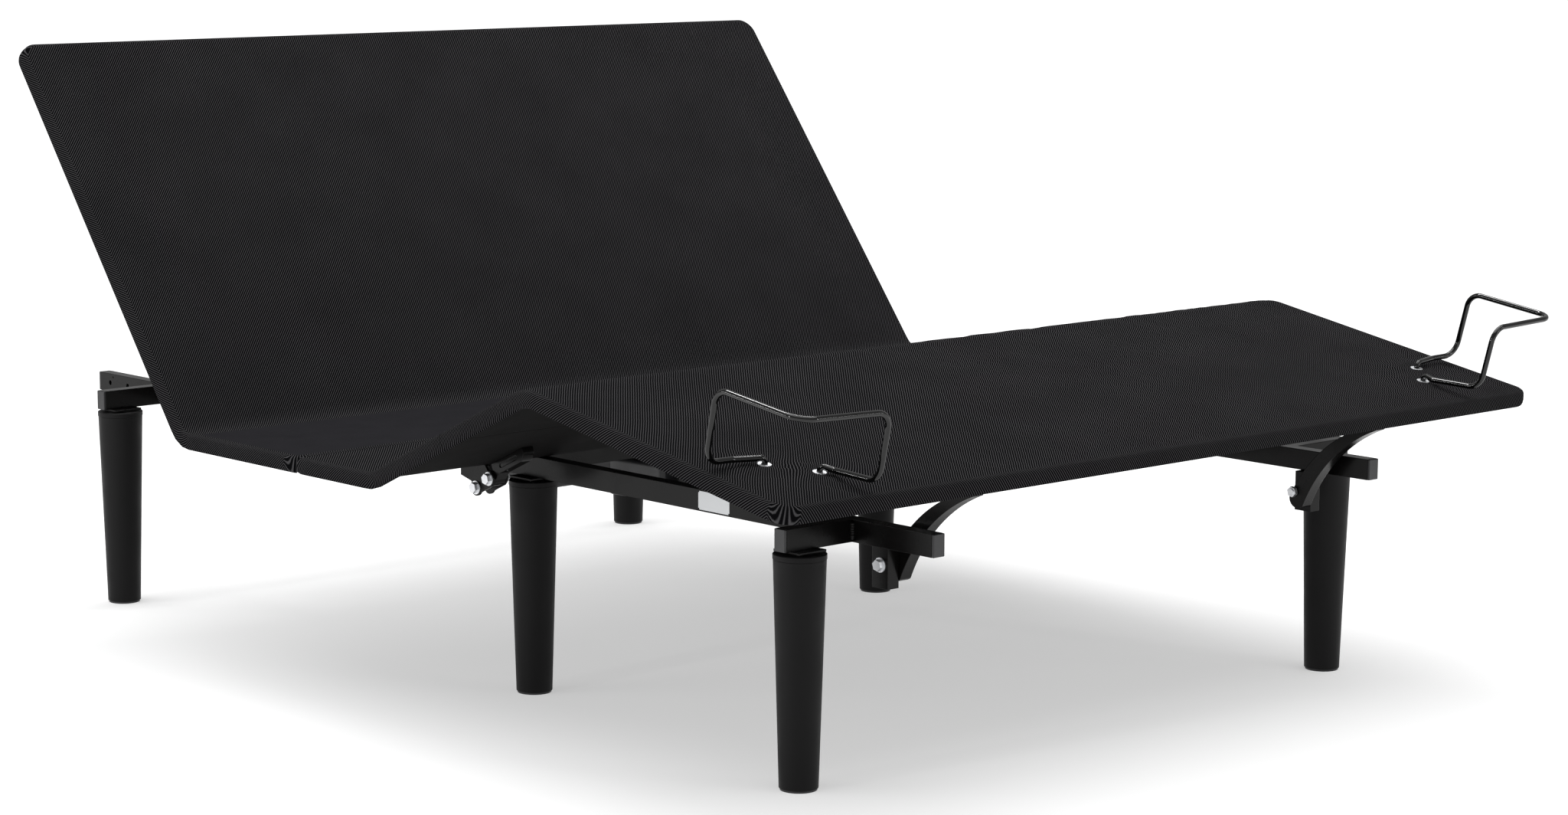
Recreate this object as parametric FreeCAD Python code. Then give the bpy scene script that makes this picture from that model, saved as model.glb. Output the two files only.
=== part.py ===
"""Adjustable bed base, queen size, standing with its head and legs raised.

Millimetres, +Z up, floor at z = 0. +Y runs from the foot of the bed to its head,
-X is the left side seen from the foot. The three lifting decks are drawn lying flat
and then swung about their hinges into the raised position.
"""
import FreeCAD, Part
import math
import os

Vector = FreeCAD.Vector
X_AXIS = Vector(1, 0, 0)

# ---- driving dimensions -------------------------------------------------------
DECK_WIDTH = 1500.0          # across the bed
DECK_TOP = 358.0             # upper face of the deck when flat
BOARD_THICKNESS = 9.0        # plywood
PAD_THICKNESS = 2.7          # felt and mesh over the board
RIM_DEPTH = 20.0             # padded edge, measured down from the upper face
RIM_WIDTH = 12.0
CORNER_RADIUS = 28.0
DECK_GAP = 0.3               # lifting deck over the frame tubes

HEAD_ANGLE = 52.32           # raised angles, degrees
THIGH_ANGLE = 24.75
FOOT_SLOPE = 10.44           # foot deck falls towards the foot end

# Places along Y, measured from the foot edge of the raised deck
Y_MIDDLE = 979.9             # middle of the whole base, which is the origin
SEAT_SEAM = 1009.1
HEAD_HINGE_AT = 1306.7
THIGH_CREASE_AT = 838.0
HEAD_DECK_REACH = 704.4      # head hinge axis to head edge
THIGH_LENGTH = 369.9         # crease to knee ridge, along the upper face
FOOT_LENGTH = 510.5          # knee ridge to foot edge
FRAME_FOOT_END = 50.0
FRAME_HEAD_END = 1995.0
FOOT_BAR_AT = 205.0          # outriggers and legs at the foot end
FOOT_CROSSBAR_AT = 350.0
HEAD_BAR_AT = 1805.0
LEFT_MIDDLE_LEG_AT = 865.0
RIGHT_MIDDLE_LEG_AT = 1065.0
HEAD_MOTOR_BAR_AT = 895.0
LEG_MOTOR_BAR_AT = 1255.0
SEAM_BAR_OFFSET = 24.5       # each half frame has a bar this far from the seam
SEAM_HALF_GAP = 0.75         # the two half bases meet with this much room each side

HEAD_HINGE_DROP = 20.5       # hinge axes below the upper face
THIGH_HINGE_DROP = 30.5
KNEE_HINGE_DROP = 22.0
HEAD_HALF_GAP = 12.0         # deck ends stand this far from the hinge axis
THIGH_HALF_GAP = 8.4
KNEE_HALF_GAP = 0.5
BOARD_SETBACK = 6.0          # plywood stops this much short of the cloth at each joint

TUBE_WIDTH = 20.0
TUBE_HEIGHT = 30.0
TUBE_WALL = 1.5
TUBE_BOTTOM = 316.0
TUBE_TOP = TUBE_BOTTOM + TUBE_HEIGHT
RAIL_X = 440.0
OUTRIGGER_END = 565.0
CAP_LENGTH = 4.0

LEG_X = 533.0
LEG_TOP = 311.0
LEG_TOP_RADIUS = 35.4
LEG_FOOT_RADIUS = 26.0
GLIDE_HEIGHT = 3.0
COLLAR_HEIGHT = 8.0
STUD_RADIUS = 5.0
LEG_PLATE = 3.0

HINGE_X = 534.0              # strap hinges under the deck, left and right
BOLT_RADIUS = 5.0
BOLT_FIT = 0.06              # running clearance of a bolt or pin in its eye
BOLT_HEAD_RADIUS = 7.8
BOLT_HEAD_HEIGHT = 6.0
BOLT_END = 2.0               # thread standing out past the nut
WASHER_RADIUS = 9.8
WASHER_THICKNESS = 1.5

SWING_PIVOT_AT = 155.0       # swing arm pivot below the rails
SWING_PIVOT_Z = 290.0
SWING_ARM_X = 407.0
SWING_ARM_WIDTH = 20.0
SWING_PIN_ALONG = 439.5      # knee axis to the arm's upper pin, along the foot deck
SWING_PIN_DROP = 14.0        # arm's upper pin below the knee axis, square to the deck
SWING_HOLE_RADIUS = 10.5     # open pivot: the pin floats in this hole

ACTUATOR_Z = 262.0
HEAD_ACTUATOR_X = -120.0
LEG_ACTUATOR_X = 120.0
LEVER_RADIUS = 90.0          # hinge axis to push rod pin
HEAD_LEVER_ANGLE = -76.0     # raised position, from +Y
LEG_LEVER_ANGLE = -84.75
ROD_PIN_RADIUS = 6.0

RETAINER_ROD = 4.0           # mattress retainer bar, rod radius
RETAINER_WASHER_RADIUS = 9.0
HEADBOARD_HOLE_RADIUS = 4.0
HEADBOARD_HOLES_AT = (1913.0, 1965.0)
LOCATING_HOLE_AT = 1956.0
LOCATING_HOLE_RADIUS = 1.6

# ---- hinge axes worked out from the driving dimensions ------------------------
thigh_rad = math.radians(THIGH_ANGLE)
foot_rad = math.radians(FOOT_SLOPE)


def yz(y_from_foot_edge, z):
    """A point in the middle plane, given its distance from the raised foot edge."""
    return Vector(0, y_from_foot_edge - Y_MIDDLE, z)


def turned(vector, degrees):
    """The vector turned about +X."""
    angle = math.radians(degrees)
    y = vector.y * math.cos(angle) - vector.z * math.sin(angle)
    z = vector.y * math.sin(angle) + vector.z * math.cos(angle)
    return Vector(vector.x, y, z)


head_hinge = yz(HEAD_HINGE_AT, DECK_TOP - HEAD_HINGE_DROP)
thigh_shift = THIGH_HINGE_DROP * math.tan(thigh_rad / 2)
thigh_hinge = yz(THIGH_CREASE_AT - thigh_shift, DECK_TOP - THIGH_HINGE_DROP)
knee_along = (THIGH_LENGTH + THIGH_HINGE_DROP * math.tan(thigh_rad / 2)
              - KNEE_HINGE_DROP * math.tan((thigh_rad + foot_rad) / 2))
knee_flat = thigh_hinge + Vector(0, -knee_along, THIGH_HINGE_DROP - KNEE_HINGE_DROP)
knee_raised = thigh_hinge + turned(knee_flat - thigh_hinge, -THIGH_ANGLE)
foot_edge_flat = knee_flat.y - FOOT_LENGTH + KNEE_HINGE_DROP * math.tan((thigh_rad + foot_rad) / 2)
swing_pivot = yz(SWING_PIVOT_AT, SWING_PIVOT_Z)
swing_pin_flat = knee_flat + Vector(0, -SWING_PIN_ALONG, -SWING_PIN_DROP)
BOARD_TOP = DECK_TOP - PAD_THICKNESS
BOARD_BOTTOM = BOARD_TOP - BOARD_THICKNESS
HALF_WIDTH = DECK_WIDTH / 2


# ---- basic solids -------------------------------------------------------------
def box(x0, x1, y0, y1, z0, z1):
    return Part.makeBox(x1 - x0, y1 - y0, z1 - z0, Vector(x0, y0, z0))


def rod_x(x0, x1, centre, radius):
    """A round bar along X through a point of the middle plane."""
    return Part.makeCylinder(radius, x1 - x0, Vector(x0, centre.y, centre.z), X_AXIS)


def rod_y(x, y0, y1, z, radius):
    return Part.makeCylinder(radius, y1 - y0, Vector(x, y0, z), Vector(0, 1, 0))


def rod_z(x, y, z0, z1, radius):
    return Part.makeCylinder(radius, z1 - z0, Vector(x, y, z0))


def hex_x(x0, x1, centre, radius):
    """A bolt head or nut along X, radius to its corners."""
    corners = []
    for k in range(7):
        angle = math.radians(60 * k + 15)
        corners.append(Vector(x0, centre.y + radius * math.cos(angle), centre.z + radius * math.sin(angle)))
    return Part.Face(Part.makePolygon(corners)).extrude(Vector(x1 - x0, 0, 0))


def plate(x0, x1, outline):
    """A flat plate square to X from its outline, a list of (y, z)."""
    corners = [Vector(x0, y, z) for y, z in outline]
    corners.append(corners[0])
    return Part.Face(Part.makePolygon(corners)).extrude(Vector(x1 - x0, 0, 0))


def tube_y(x, y0, y1):
    """A frame tube along Y."""
    half = TUBE_WIDTH / 2
    room = half - TUBE_WALL
    outer = box(x - half, x + half, y0, y1, TUBE_BOTTOM, TUBE_TOP)
    inner = box(x - room, x + room, y0 - 1, y1 + 1, TUBE_BOTTOM + TUBE_WALL, TUBE_TOP - TUBE_WALL)
    return outer.cut(inner)


def tube_x(y, x0, x1):
    """A frame tube along X."""
    half = TUBE_WIDTH / 2
    room = half - TUBE_WALL
    outer = box(x0, x1, y - half, y + half, TUBE_BOTTOM, TUBE_TOP)
    inner = box(x0 - 1, x1 + 1, y - room, y + room, TUBE_BOTTOM + TUBE_WALL, TUBE_TOP - TUBE_WALL)
    return outer.cut(inner)


def swung(shape, axis_point, degrees):
    """A copy swung about an X axis through a point."""
    copy = shape.copy()
    copy.rotate(axis_point, X_AXIS, degrees)
    return copy


def save(name, shapes):
    """One STEP file for each node; a group of like pieces stays separate solids."""
    solids = []
    for shape in shapes if isinstance(shapes, list) else [shapes]:
        solids.extend(shape.removeSplitter().Solids)
    result = solids[0] if len(solids) == 1 else Part.makeCompound(solids)
    if not result.isValid():
        raise ValueError(name + " is not a valid solid")
    result.exportStep("parts/" + name + ".step")


def head_pose(shape):
    return swung(shape, head_hinge, HEAD_ANGLE)


def thigh_pose(shape):
    return swung(shape, thigh_hinge, -THIGH_ANGLE)


def foot_pose(shape):
    copy = shape.copy()
    copy.translate(knee_raised - knee_flat)
    return swung(copy, knee_raised, FOOT_SLOPE)


os.makedirs("parts", exist_ok=True)


# ---- steel frame --------------------------------------------------------------
def leg_places():
    """Name and centre of each leg."""
    foot_bar = FOOT_BAR_AT - Y_MIDDLE
    head_bar = HEAD_BAR_AT - Y_MIDDLE
    return [
        ("leg_foot_left", -LEG_X, foot_bar),
        ("leg_foot_right", LEG_X, foot_bar),
        ("leg_middle_left", -RAIL_X, LEFT_MIDDLE_LEG_AT - Y_MIDDLE),
        ("leg_middle_right", RAIL_X, RIGHT_MIDDLE_LEG_AT - Y_MIDDLE),
        ("leg_head_left", -LEG_X, head_bar),
        ("leg_head_right", LEG_X, head_bar),
    ]


STUD_TOP = TUBE_BOTTOM + 6.0
STUD_BOTTOM = LEG_TOP - 30.0


def drilled_for_studs(shape):
    """The tube or plate with each leg stud's hole."""
    result = shape
    for _, x, y in leg_places():
        result = result.cut(rod_z(x, y, STUD_BOTTOM, STUD_TOP, STUD_RADIUS))
    return result


seam = SEAT_SEAM - Y_MIDDLE
rail_foot_end = FRAME_FOOT_END - Y_MIDDLE
rail_head_end = FRAME_HEAD_END - Y_MIDDLE
for side, sign in (("left", -1), ("right", 1)):
    foot_rail = tube_y(sign * RAIL_X, rail_foot_end, seam - SEAM_HALF_GAP)
    head_rail = tube_y(sign * RAIL_X, seam + SEAM_HALF_GAP, rail_head_end)
    rail_middle = TUBE_BOTTOM + TUBE_HEIGHT / 2
    rail_holes = [(yz(hole_at, rail_middle), HEADBOARD_HOLE_RADIUS) for hole_at in HEADBOARD_HOLES_AT]
    rail_holes.append((yz(LOCATING_HOLE_AT, TUBE_TOP - 5), LOCATING_HOLE_RADIUS))
    for hole_centre, hole_radius in rail_holes:
        x0, x1 = sign * RAIL_X - TUBE_WIDTH, sign * RAIL_X + TUBE_WIDTH
        head_rail = head_rail.cut(rod_x(x0, x1, hole_centre, hole_radius))
    save("rail_foot_" + side, drilled_for_studs(foot_rail))
    save("rail_head_" + side, drilled_for_studs(head_rail))

inner_face = RAIL_X - TUBE_WIDTH / 2
outer_face = RAIL_X + TUBE_WIDTH / 2
save("crossbar_foot", tube_x(FOOT_CROSSBAR_AT - Y_MIDDLE, -inner_face, inner_face))
save("crossbar_head", tube_x(HEAD_BAR_AT - Y_MIDDLE, -inner_face, inner_face))
motor_bars = []
for bar_at in (HEAD_MOTOR_BAR_AT, LEG_MOTOR_BAR_AT):
    motor_bars.append(tube_x(bar_at - Y_MIDDLE, -inner_face, inner_face))
seam_bars = []
for offset in (-SEAM_BAR_OFFSET, SEAM_BAR_OFFSET):
    seam_bars.append(tube_x(seam + offset, -inner_face, inner_face))
save("motor_crossbars", motor_bars)
save("seam_crossbars", seam_bars)

outriggers = []
caps = []
for bar_at in (FOOT_BAR_AT, HEAD_BAR_AT):
    bar_y = bar_at - Y_MIDDLE
    half = TUBE_WIDTH / 2
    for sign in (-1, 1):
        x0, x1 = sorted((sign * outer_face, sign * OUTRIGGER_END))
        outriggers.append(drilled_for_studs(tube_x(bar_y, x0, x1)))
        c0, c1 = sorted((sign * OUTRIGGER_END, sign * (OUTRIGGER_END + CAP_LENGTH)))
        caps.append(box(c0, c1, bar_y - half, bar_y + half, TUBE_BOTTOM, TUBE_TOP))
for sign in (-1, 1):
    x0, x1 = sign * RAIL_X - TUBE_WIDTH / 2, sign * RAIL_X + TUBE_WIDTH / 2
    caps.append(box(x0, x1, rail_foot_end - CAP_LENGTH, rail_foot_end, TUBE_BOTTOM, TUBE_TOP))
    caps.append(box(x0, x1, rail_head_end, rail_head_end + CAP_LENGTH, TUBE_BOTTOM, TUBE_TOP))
save("outriggers", outriggers)
CAP_ROUNDING = 1.2
save("tube_end_caps", [cap.makeFillet(CAP_ROUNDING, cap.Edges) for cap in caps])

# Plates over the joint between the two half frames, on the outer face of each rail
splices = []
SPLICE_HALF_LENGTH = 70.0
SPLICE_THICKNESS = 4.0
SPLICE_SETBACK = 2.0         # inside the rail's upper and lower faces
splice_low, splice_high = TUBE_BOTTOM + SPLICE_SETBACK, TUBE_TOP - SPLICE_SETBACK
for sign in (-1, 1):
    s0, s1 = sorted((sign * outer_face, sign * (outer_face + SPLICE_THICKNESS)))
    splices.append(box(s0, s1, seam - SPLICE_HALF_LENGTH, seam + SPLICE_HALF_LENGTH, splice_low, splice_high))
save("rail_splice_plates", splices)


# ---- legs ---------------------------------------------------------------------
COLLAR_STEP = 0.6            # the collar stands out past the taper


def leg(x, y):
    """Tapered round leg with a collar and a threaded hole for its stud."""
    cone_top = LEG_TOP - COLLAR_HEIGHT
    taper_radius = LEG_TOP_RADIUS - COLLAR_STEP
    cone = Part.makeCone(LEG_FOOT_RADIUS, taper_radius, cone_top - GLIDE_HEIGHT, Vector(x, y, GLIDE_HEIGHT))
    collar = rod_z(x, y, cone_top, LEG_TOP, LEG_TOP_RADIUS)
    collar = collar.makeChamfer(1.0, [collar.Edges[0], collar.Edges[2]])
    return cone.fuse(collar).cut(rod_z(x, y, STUD_BOTTOM, LEG_TOP + 1, STUD_RADIUS))


PLATE_HALF_SIZE = 24.0
studs = []
plates = []
glides = []
for leg_name, leg_x, leg_y in leg_places():
    save(leg_name, leg(leg_x, leg_y))
    glides.append(rod_z(leg_x, leg_y, 0, GLIDE_HEIGHT, LEG_FOOT_RADIUS - 1.5))
    studs.append(rod_z(leg_x, leg_y, STUD_BOTTOM, STUD_TOP, STUD_RADIUS))
    x0, x1 = leg_x - PLATE_HALF_SIZE, leg_x + PLATE_HALF_SIZE
    y0, y1 = leg_y - PLATE_HALF_SIZE, leg_y + PLATE_HALF_SIZE
    plates.append(drilled_for_studs(box(x0, x1, y0, y1, TUBE_BOTTOM - LEG_PLATE, TUBE_BOTTOM)))
save("leg_glides", glides)
save("leg_studs", studs)
save("leg_mount_plates", plates)


# ---- decks: plywood boards under a mesh-covered pad ----------------------------
def round_corners(shape, y_edge, radius):
    """Rounds the two upright corners that lie on one end of a deck."""
    edges = []
    for edge in shape.Edges:
        ends = [vertex.Point for vertex in edge.Vertexes]
        upright = len(ends) == 2 and abs(ends[0].x - ends[1].x) < 0.01 and abs(ends[0].y - ends[1].y) < 0.01
        if upright and abs(ends[0].y - y_edge) < 0.01:
            edges.append(edge)
    return shape.makeFillet(radius, edges)


def cover(y0, y1, rim_at_y0=False, rim_at_y1=False):
    """Pad over a board: a shallow tray turned over, with a rim on its outer edges."""
    outer = box(-HALF_WIDTH, HALF_WIDTH, y0, y1, DECK_TOP - RIM_DEPTH, DECK_TOP)
    if rim_at_y0:
        outer = round_corners(outer, y0, CORNER_RADIUS)
    if rim_at_y1:
        outer = round_corners(outer, y1, CORNER_RADIUS)
    return outer.cut(cavity(y0, y1, rim_at_y0, rim_at_y1, BOARD_TOP, 1.0))


def cavity(y0, y1, rim_at_y0, rim_at_y1, top, overrun):
    """The room inside a cover, open at every end that has no rim."""
    edge = HALF_WIDTH - RIM_WIDTH
    low = y0 + RIM_WIDTH if rim_at_y0 else y0 - overrun
    high = y1 - RIM_WIDTH if rim_at_y1 else y1 + overrun
    room = box(-edge, edge, low, high, DECK_TOP - RIM_DEPTH - 1, top)
    if rim_at_y0:
        room = round_corners(room, low, CORNER_RADIUS - RIM_WIDTH)
    if rim_at_y1:
        room = round_corners(room, high, CORNER_RADIUS - RIM_WIDTH)
    return room


def deck(y0, y1, rim_at_y0=False, rim_at_y1=False):
    """Board and cover of one deck section, lying flat."""
    pad = cover(y0, y1, rim_at_y0, rim_at_y1)
    room = cavity(y0, y1, rim_at_y0, rim_at_y1, BOARD_TOP, -BOARD_SETBACK)
    slab = box(-HALF_WIDTH, HALF_WIDTH, y0, y1, BOARD_BOTTOM, BOARD_TOP)
    return slab.common(room), pad


seat_head_end = head_hinge.y - HEAD_HALF_GAP
seat_foot_end = thigh_hinge.y + THIGH_HALF_GAP
seat_board_head, seat_cover_head = deck(seam + SEAM_HALF_GAP, seat_head_end)
seat_board_foot, seat_cover_foot = deck(seat_foot_end, seam - SEAM_HALF_GAP)
save("seat_board_head", seat_board_head)
save("seat_cover_head", seat_cover_head)
save("seat_board_foot", seat_board_foot)
save("seat_cover_foot", seat_cover_foot)

head_board, head_cover = deck(head_hinge.y + HEAD_HALF_GAP, head_hinge.y + HEAD_DECK_REACH, rim_at_y1=True)
save("head_board", head_pose(head_board))
save("head_cover", head_pose(head_cover))

thigh_board, thigh_cover = deck(knee_flat.y + KNEE_HALF_GAP, thigh_hinge.y - THIGH_HALF_GAP)
save("thigh_board", thigh_pose(thigh_board))
save("thigh_cover", thigh_pose(thigh_cover))

# Retainer bar feet, as (x, distance from the foot edge)
RETAINER_FEET = ((655.0, 142.0), (607.0, 92.5))
foot_board, foot_cover = deck(foot_edge_flat, knee_flat.y - KNEE_HALF_GAP, rim_at_y0=True)
for sign in (-1, 1):
    for foot_x, foot_y in RETAINER_FEET:
        hole = rod_z(sign * foot_x, foot_edge_flat + foot_y, BOARD_BOTTOM - 1, DECK_TOP + 1, RETAINER_ROD)
        foot_board = foot_board.cut(hole)
        foot_cover = foot_cover.cut(hole)
save("foot_board", foot_pose(foot_board))
save("foot_cover", foot_pose(foot_cover))

# Two steel battens along the head board, clear of the bars below
HEAD_BATTEN_X = 280.0
HEAD_BATTEN_DEPTH = 26.0
BATTEN_START = 60.0          # past the hinge axis
BATTEN_CLEAR = 20.0          # short of the middle of the bar at the head end
battens = []
for sign in (-1, 1):
    x0 = sign * HEAD_BATTEN_X - TUBE_WIDTH / 2
    y0 = head_hinge.y + BATTEN_START
    y1 = HEAD_BAR_AT - Y_MIDDLE - BATTEN_CLEAR
    batten = box(x0, x0 + TUBE_WIDTH, y0, y1, BOARD_BOTTOM - HEAD_BATTEN_DEPTH, BOARD_BOTTOM)
    battens.append(head_pose(batten))
save("head_battens", battens)


# ---- strap hinges at head and thigh -------------------------------------------
BRACKET_GAP = 10.0           # half the room between a bracket's two plates
BRACKET_PLATE = 3.0
EYE_RADIUS = 11.5
STRAP_LENGTH = 86.0
STRAP_DEPTH = 18.0
STRAP_END_RADIUS = 14.0
GROOVE_INSET = 20.0          # pressed groove along each side of a strap
GROOVE_RADIUS = 3.0
GROOVE_DEPTH = 1.2


def both_plates(sign, outline, eye, eye_radius):
    """A bracket's two plates round an eye, joined under the board by a flange."""
    shapes = []
    for offset in (-BRACKET_GAP - BRACKET_PLATE, BRACKET_GAP):
        x0 = sign * HINGE_X + offset
        x1 = x0 + BRACKET_PLATE
        shapes.append(plate(x0, x1, outline).fuse(rod_x(x0, x1, eye, eye_radius)))
    return shapes


def pivot_bolt(x_head, x_nut, centre):
    """Hex bolt with a washer under its head and a nut; the head is at x_head."""
    way = 1 if x_nut > x_head else -1
    under_head = x_head - way * WASHER_THICKNESS
    low, high = sorted((under_head, x_nut + way * (BOLT_HEAD_HEIGHT + BOLT_END)))
    shank = rod_x(low, high, centre, BOLT_RADIUS)
    h0, h1 = sorted((under_head - way * BOLT_HEAD_HEIGHT, under_head))
    w0, w1 = sorted((under_head, x_head))
    n0, n1 = sorted((x_nut, x_nut + way * BOLT_HEAD_HEIGHT))
    bolt = shank.fuse(hex_x(h0, h1, centre, BOLT_HEAD_RADIUS)).fuse(rod_x(w0, w1, centre, WASHER_RADIUS))
    return bolt.fuse(hex_x(n0, n1, centre, BOLT_HEAD_RADIUS))


def strap(sign, hinge, y_start, y_end):
    """Arm fixed under a lifting deck, with its eye on the hinge axis."""
    half = BRACKET_GAP - 0.5
    x0, x1 = sign * HINGE_X - half, sign * HINGE_X + half
    low, high = sorted((y_start, y_end))
    floor_z = BOARD_BOTTOM - STRAP_DEPTH
    arm = box(x0, x1, low, high, floor_z, BOARD_BOTTOM)
    for edge in arm.Edges:
        ends = [vertex.Point for vertex in edge.Vertexes]
        if all(abs(point.y - y_end) < 0.01 and abs(point.z - floor_z) < 0.01 for point in ends):
            arm = arm.makeFillet(STRAP_END_RADIUS, [edge])
            break
    groove_z = (floor_z + BOARD_BOTTOM) / 2
    g0, g1 = low + GROOVE_INSET, high - GROOVE_INSET
    for face_x in (x0, x1):
        f0, f1 = face_x - GROOVE_DEPTH, face_x + GROOVE_DEPTH
        groove = box(f0, f1, g0, g1, groove_z - GROOVE_RADIUS, groove_z + GROOVE_RADIUS)
        for end_y in (g0, g1):
            groove = groove.fuse(rod_x(f0, f1, Vector(0, end_y, groove_z), GROOVE_RADIUS))
        arm = arm.cut(groove)
    neck_top = min(BOARD_BOTTOM, hinge.z + 6) - 0.5
    neck_end = y_start + math.copysign(12, y_end - y_start)
    neck = plate(x0, x1, [(hinge.y, hinge.z - EYE_RADIUS + 0.5), (neck_end, floor_z), (neck_end, neck_top),
                          (hinge.y, neck_top)])
    body = arm.fuse(neck).fuse(rod_x(x0, x1, hinge, EYE_RADIUS - 0.5))
    return body.cut(rod_x(x0 - 1, x1 + 1, hinge, BOLT_RADIUS + BOLT_FIT))


head_brackets = []
head_straps = []
thigh_straps = []
hinge_bolts = []
for sign in (-1, 1):
    # Head hinge: a square bracket under the seat board
    y_back = head_hinge.y - 60
    outline = [(y_back, BOARD_BOTTOM), (y_back, head_hinge.z - 8),
               (head_hinge.y, head_hinge.z - EYE_RADIUS), (head_hinge.y, head_hinge.z + 6),
               (seat_head_end, BOARD_BOTTOM)]
    plates_pair = both_plates(sign, outline, head_hinge, EYE_RADIUS)
    flange_x = sign * HINGE_X
    flange = box(flange_x - BRACKET_GAP, flange_x + BRACKET_GAP, y_back, seat_head_end - 4,
                 BOARD_BOTTOM - BRACKET_PLATE, BOARD_BOTTOM)
    bracket = plates_pair[0].fuse(plates_pair[1]).fuse(flange)
    bracket = bracket.cut(rod_x(flange_x - 30, flange_x + 30, head_hinge, BOLT_RADIUS))
    head_brackets.append(bracket)
    head_strap = strap(sign, head_hinge, head_hinge.y + HEAD_HALF_GAP + 1, head_hinge.y + STRAP_LENGTH)
    head_straps.append(head_pose(head_strap))
    thigh_strap = strap(sign, thigh_hinge, thigh_hinge.y - THIGH_HALF_GAP - 1, thigh_hinge.y - STRAP_LENGTH)
    thigh_straps.append(thigh_pose(thigh_strap))
    outer = sign * (HINGE_X + BRACKET_GAP + BRACKET_PLATE)
    inner = sign * (HINGE_X - BRACKET_GAP - BRACKET_PLATE)
    hinge_bolts.append(pivot_bolt(outer, inner, head_hinge))
    hinge_bolts.append(pivot_bolt(outer, inner, thigh_hinge))
save("head_hinge_brackets", head_brackets)
save("head_hinge_straps", head_straps)
save("thigh_hinge_straps", thigh_straps)

# Thigh hinge: a deeper bracket whose round lobe also takes a fixing bolt
LOBE_OFFSET = Vector(0, 29, -16)
LOBE_RADIUS = 12.0
lobe = thigh_hinge + LOBE_OFFSET
thigh_brackets = []
for sign in (-1, 1):
    y_back = thigh_hinge.y + 64
    outline = [(y_back, BOARD_BOTTOM), (y_back, thigh_hinge.z - 2), (lobe.y + LOBE_RADIUS - 1, lobe.z + 8),
               (lobe.y + 2, lobe.z - LOBE_RADIUS), (thigh_hinge.y - 6, thigh_hinge.z - EYE_RADIUS + 1),
               (thigh_hinge.y - 6, thigh_hinge.z), (seat_foot_end, BOARD_BOTTOM)]
    plates_pair = both_plates(sign, outline, thigh_hinge, EYE_RADIUS)
    flange_x = sign * HINGE_X
    flange = box(flange_x - BRACKET_GAP, flange_x + BRACKET_GAP, seat_foot_end + 5, y_back,
                 BOARD_BOTTOM - BRACKET_PLATE, BOARD_BOTTOM)
    lobes = rod_x(flange_x - BRACKET_GAP - BRACKET_PLATE, flange_x - BRACKET_GAP, lobe, LOBE_RADIUS).fuse(
        rod_x(flange_x + BRACKET_GAP, flange_x + BRACKET_GAP + BRACKET_PLATE, lobe, LOBE_RADIUS))
    bracket = plates_pair[0].fuse(plates_pair[1]).fuse(lobes).fuse(flange)
    for centre in (thigh_hinge, lobe):
        bracket = bracket.cut(rod_x(flange_x - 30, flange_x + 30, centre, BOLT_RADIUS))
    thigh_brackets.append(bracket)
    outer = sign * (HINGE_X + BRACKET_GAP + BRACKET_PLATE)
    inner = sign * (HINGE_X - BRACKET_GAP - BRACKET_PLATE)
    hinge_bolts.append(pivot_bolt(outer, inner, lobe))
save("thigh_hinge_brackets", thigh_brackets)
save("hinge_bolts", hinge_bolts)


# ---- knee hinges between thigh and foot decks ----------------------------------
KNEE_HINGE_X = (-500.0, -170.0, 170.0, 500.0)
KNUCKLE_RADIUS = 6.0
KNUCKLE_LENGTH = 18.0
KNEE_PIN_RADIUS = 3.0
LEAF_LENGTH = 50.0
LEAF_WIDTH = 60.0
NOTCH_DEPTH = 8.0            # room beside each knuckle for its neighbour
LEAF_THICKNESS = 2.5


def knee_leaf(x, direction, knuckle_starts):
    """One leaf of a butt hinge under a board; direction is +1 for the thigh deck."""
    half = LEAF_WIDTH / 2
    y0, y1 = sorted((knee_flat.y + direction * 1.0, knee_flat.y + direction * LEAF_LENGTH))
    leaf = box(x - half, x + half, y0, y1, BOARD_BOTTOM - LEAF_THICKNESS, BOARD_BOTTOM)
    for offset in knuckle_starts:
        start = x + offset
        knuckle = rod_x(start, start + KNUCKLE_LENGTH, knee_flat, KNUCKLE_RADIUS)
        web0, web1 = sorted((knee_flat.y, knee_flat.y + direction * NOTCH_DEPTH))
        web = box(start, start + KNUCKLE_LENGTH, web0, web1, knee_flat.z - 1, BOARD_BOTTOM - 0.5)
        leaf = leaf.fuse(knuckle.fuse(web))
    pin_edge = y0 if direction > 0 else y1
    notch0, notch1 = sorted((pin_edge - direction, pin_edge + direction * NOTCH_DEPTH))
    for place in range(3):
        start = x - half + place * LEAF_WIDTH / 3 - 1
        if all(abs(start - x - offset) > KNUCKLE_LENGTH / 2 for offset in knuckle_starts):
            notch = box(start, start + LEAF_WIDTH / 3 + 2, notch0, notch1,
                        BOARD_BOTTOM - LEAF_THICKNESS - 1, BOARD_BOTTOM + 1)
            leaf = leaf.cut(notch)
    return leaf


thigh_leaves = []
foot_leaves = []
knee_pins = []
for hinge_x in KNEE_HINGE_X:
    bore = rod_x(hinge_x - 40, hinge_x + 40, knee_flat, KNEE_PIN_RADIUS)
    loose_bore = rod_x(hinge_x - 40, hinge_x + 40, knee_flat, KNEE_PIN_RADIUS + BOLT_FIT)
    thigh_leaves.append(thigh_pose(knee_leaf(hinge_x, 1, [-29, 11]).cut(bore)))
    foot_leaves.append(foot_pose(knee_leaf(hinge_x, -1, [-9]).cut(loose_bore)))
    knee_pins.append(thigh_pose(rod_x(hinge_x - 31, hinge_x + 31, knee_flat, KNEE_PIN_RADIUS)))
save("knee_leaves_thigh", thigh_leaves)
save("knee_leaves_foot", foot_leaves)
save("knee_pins", knee_pins)

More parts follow.
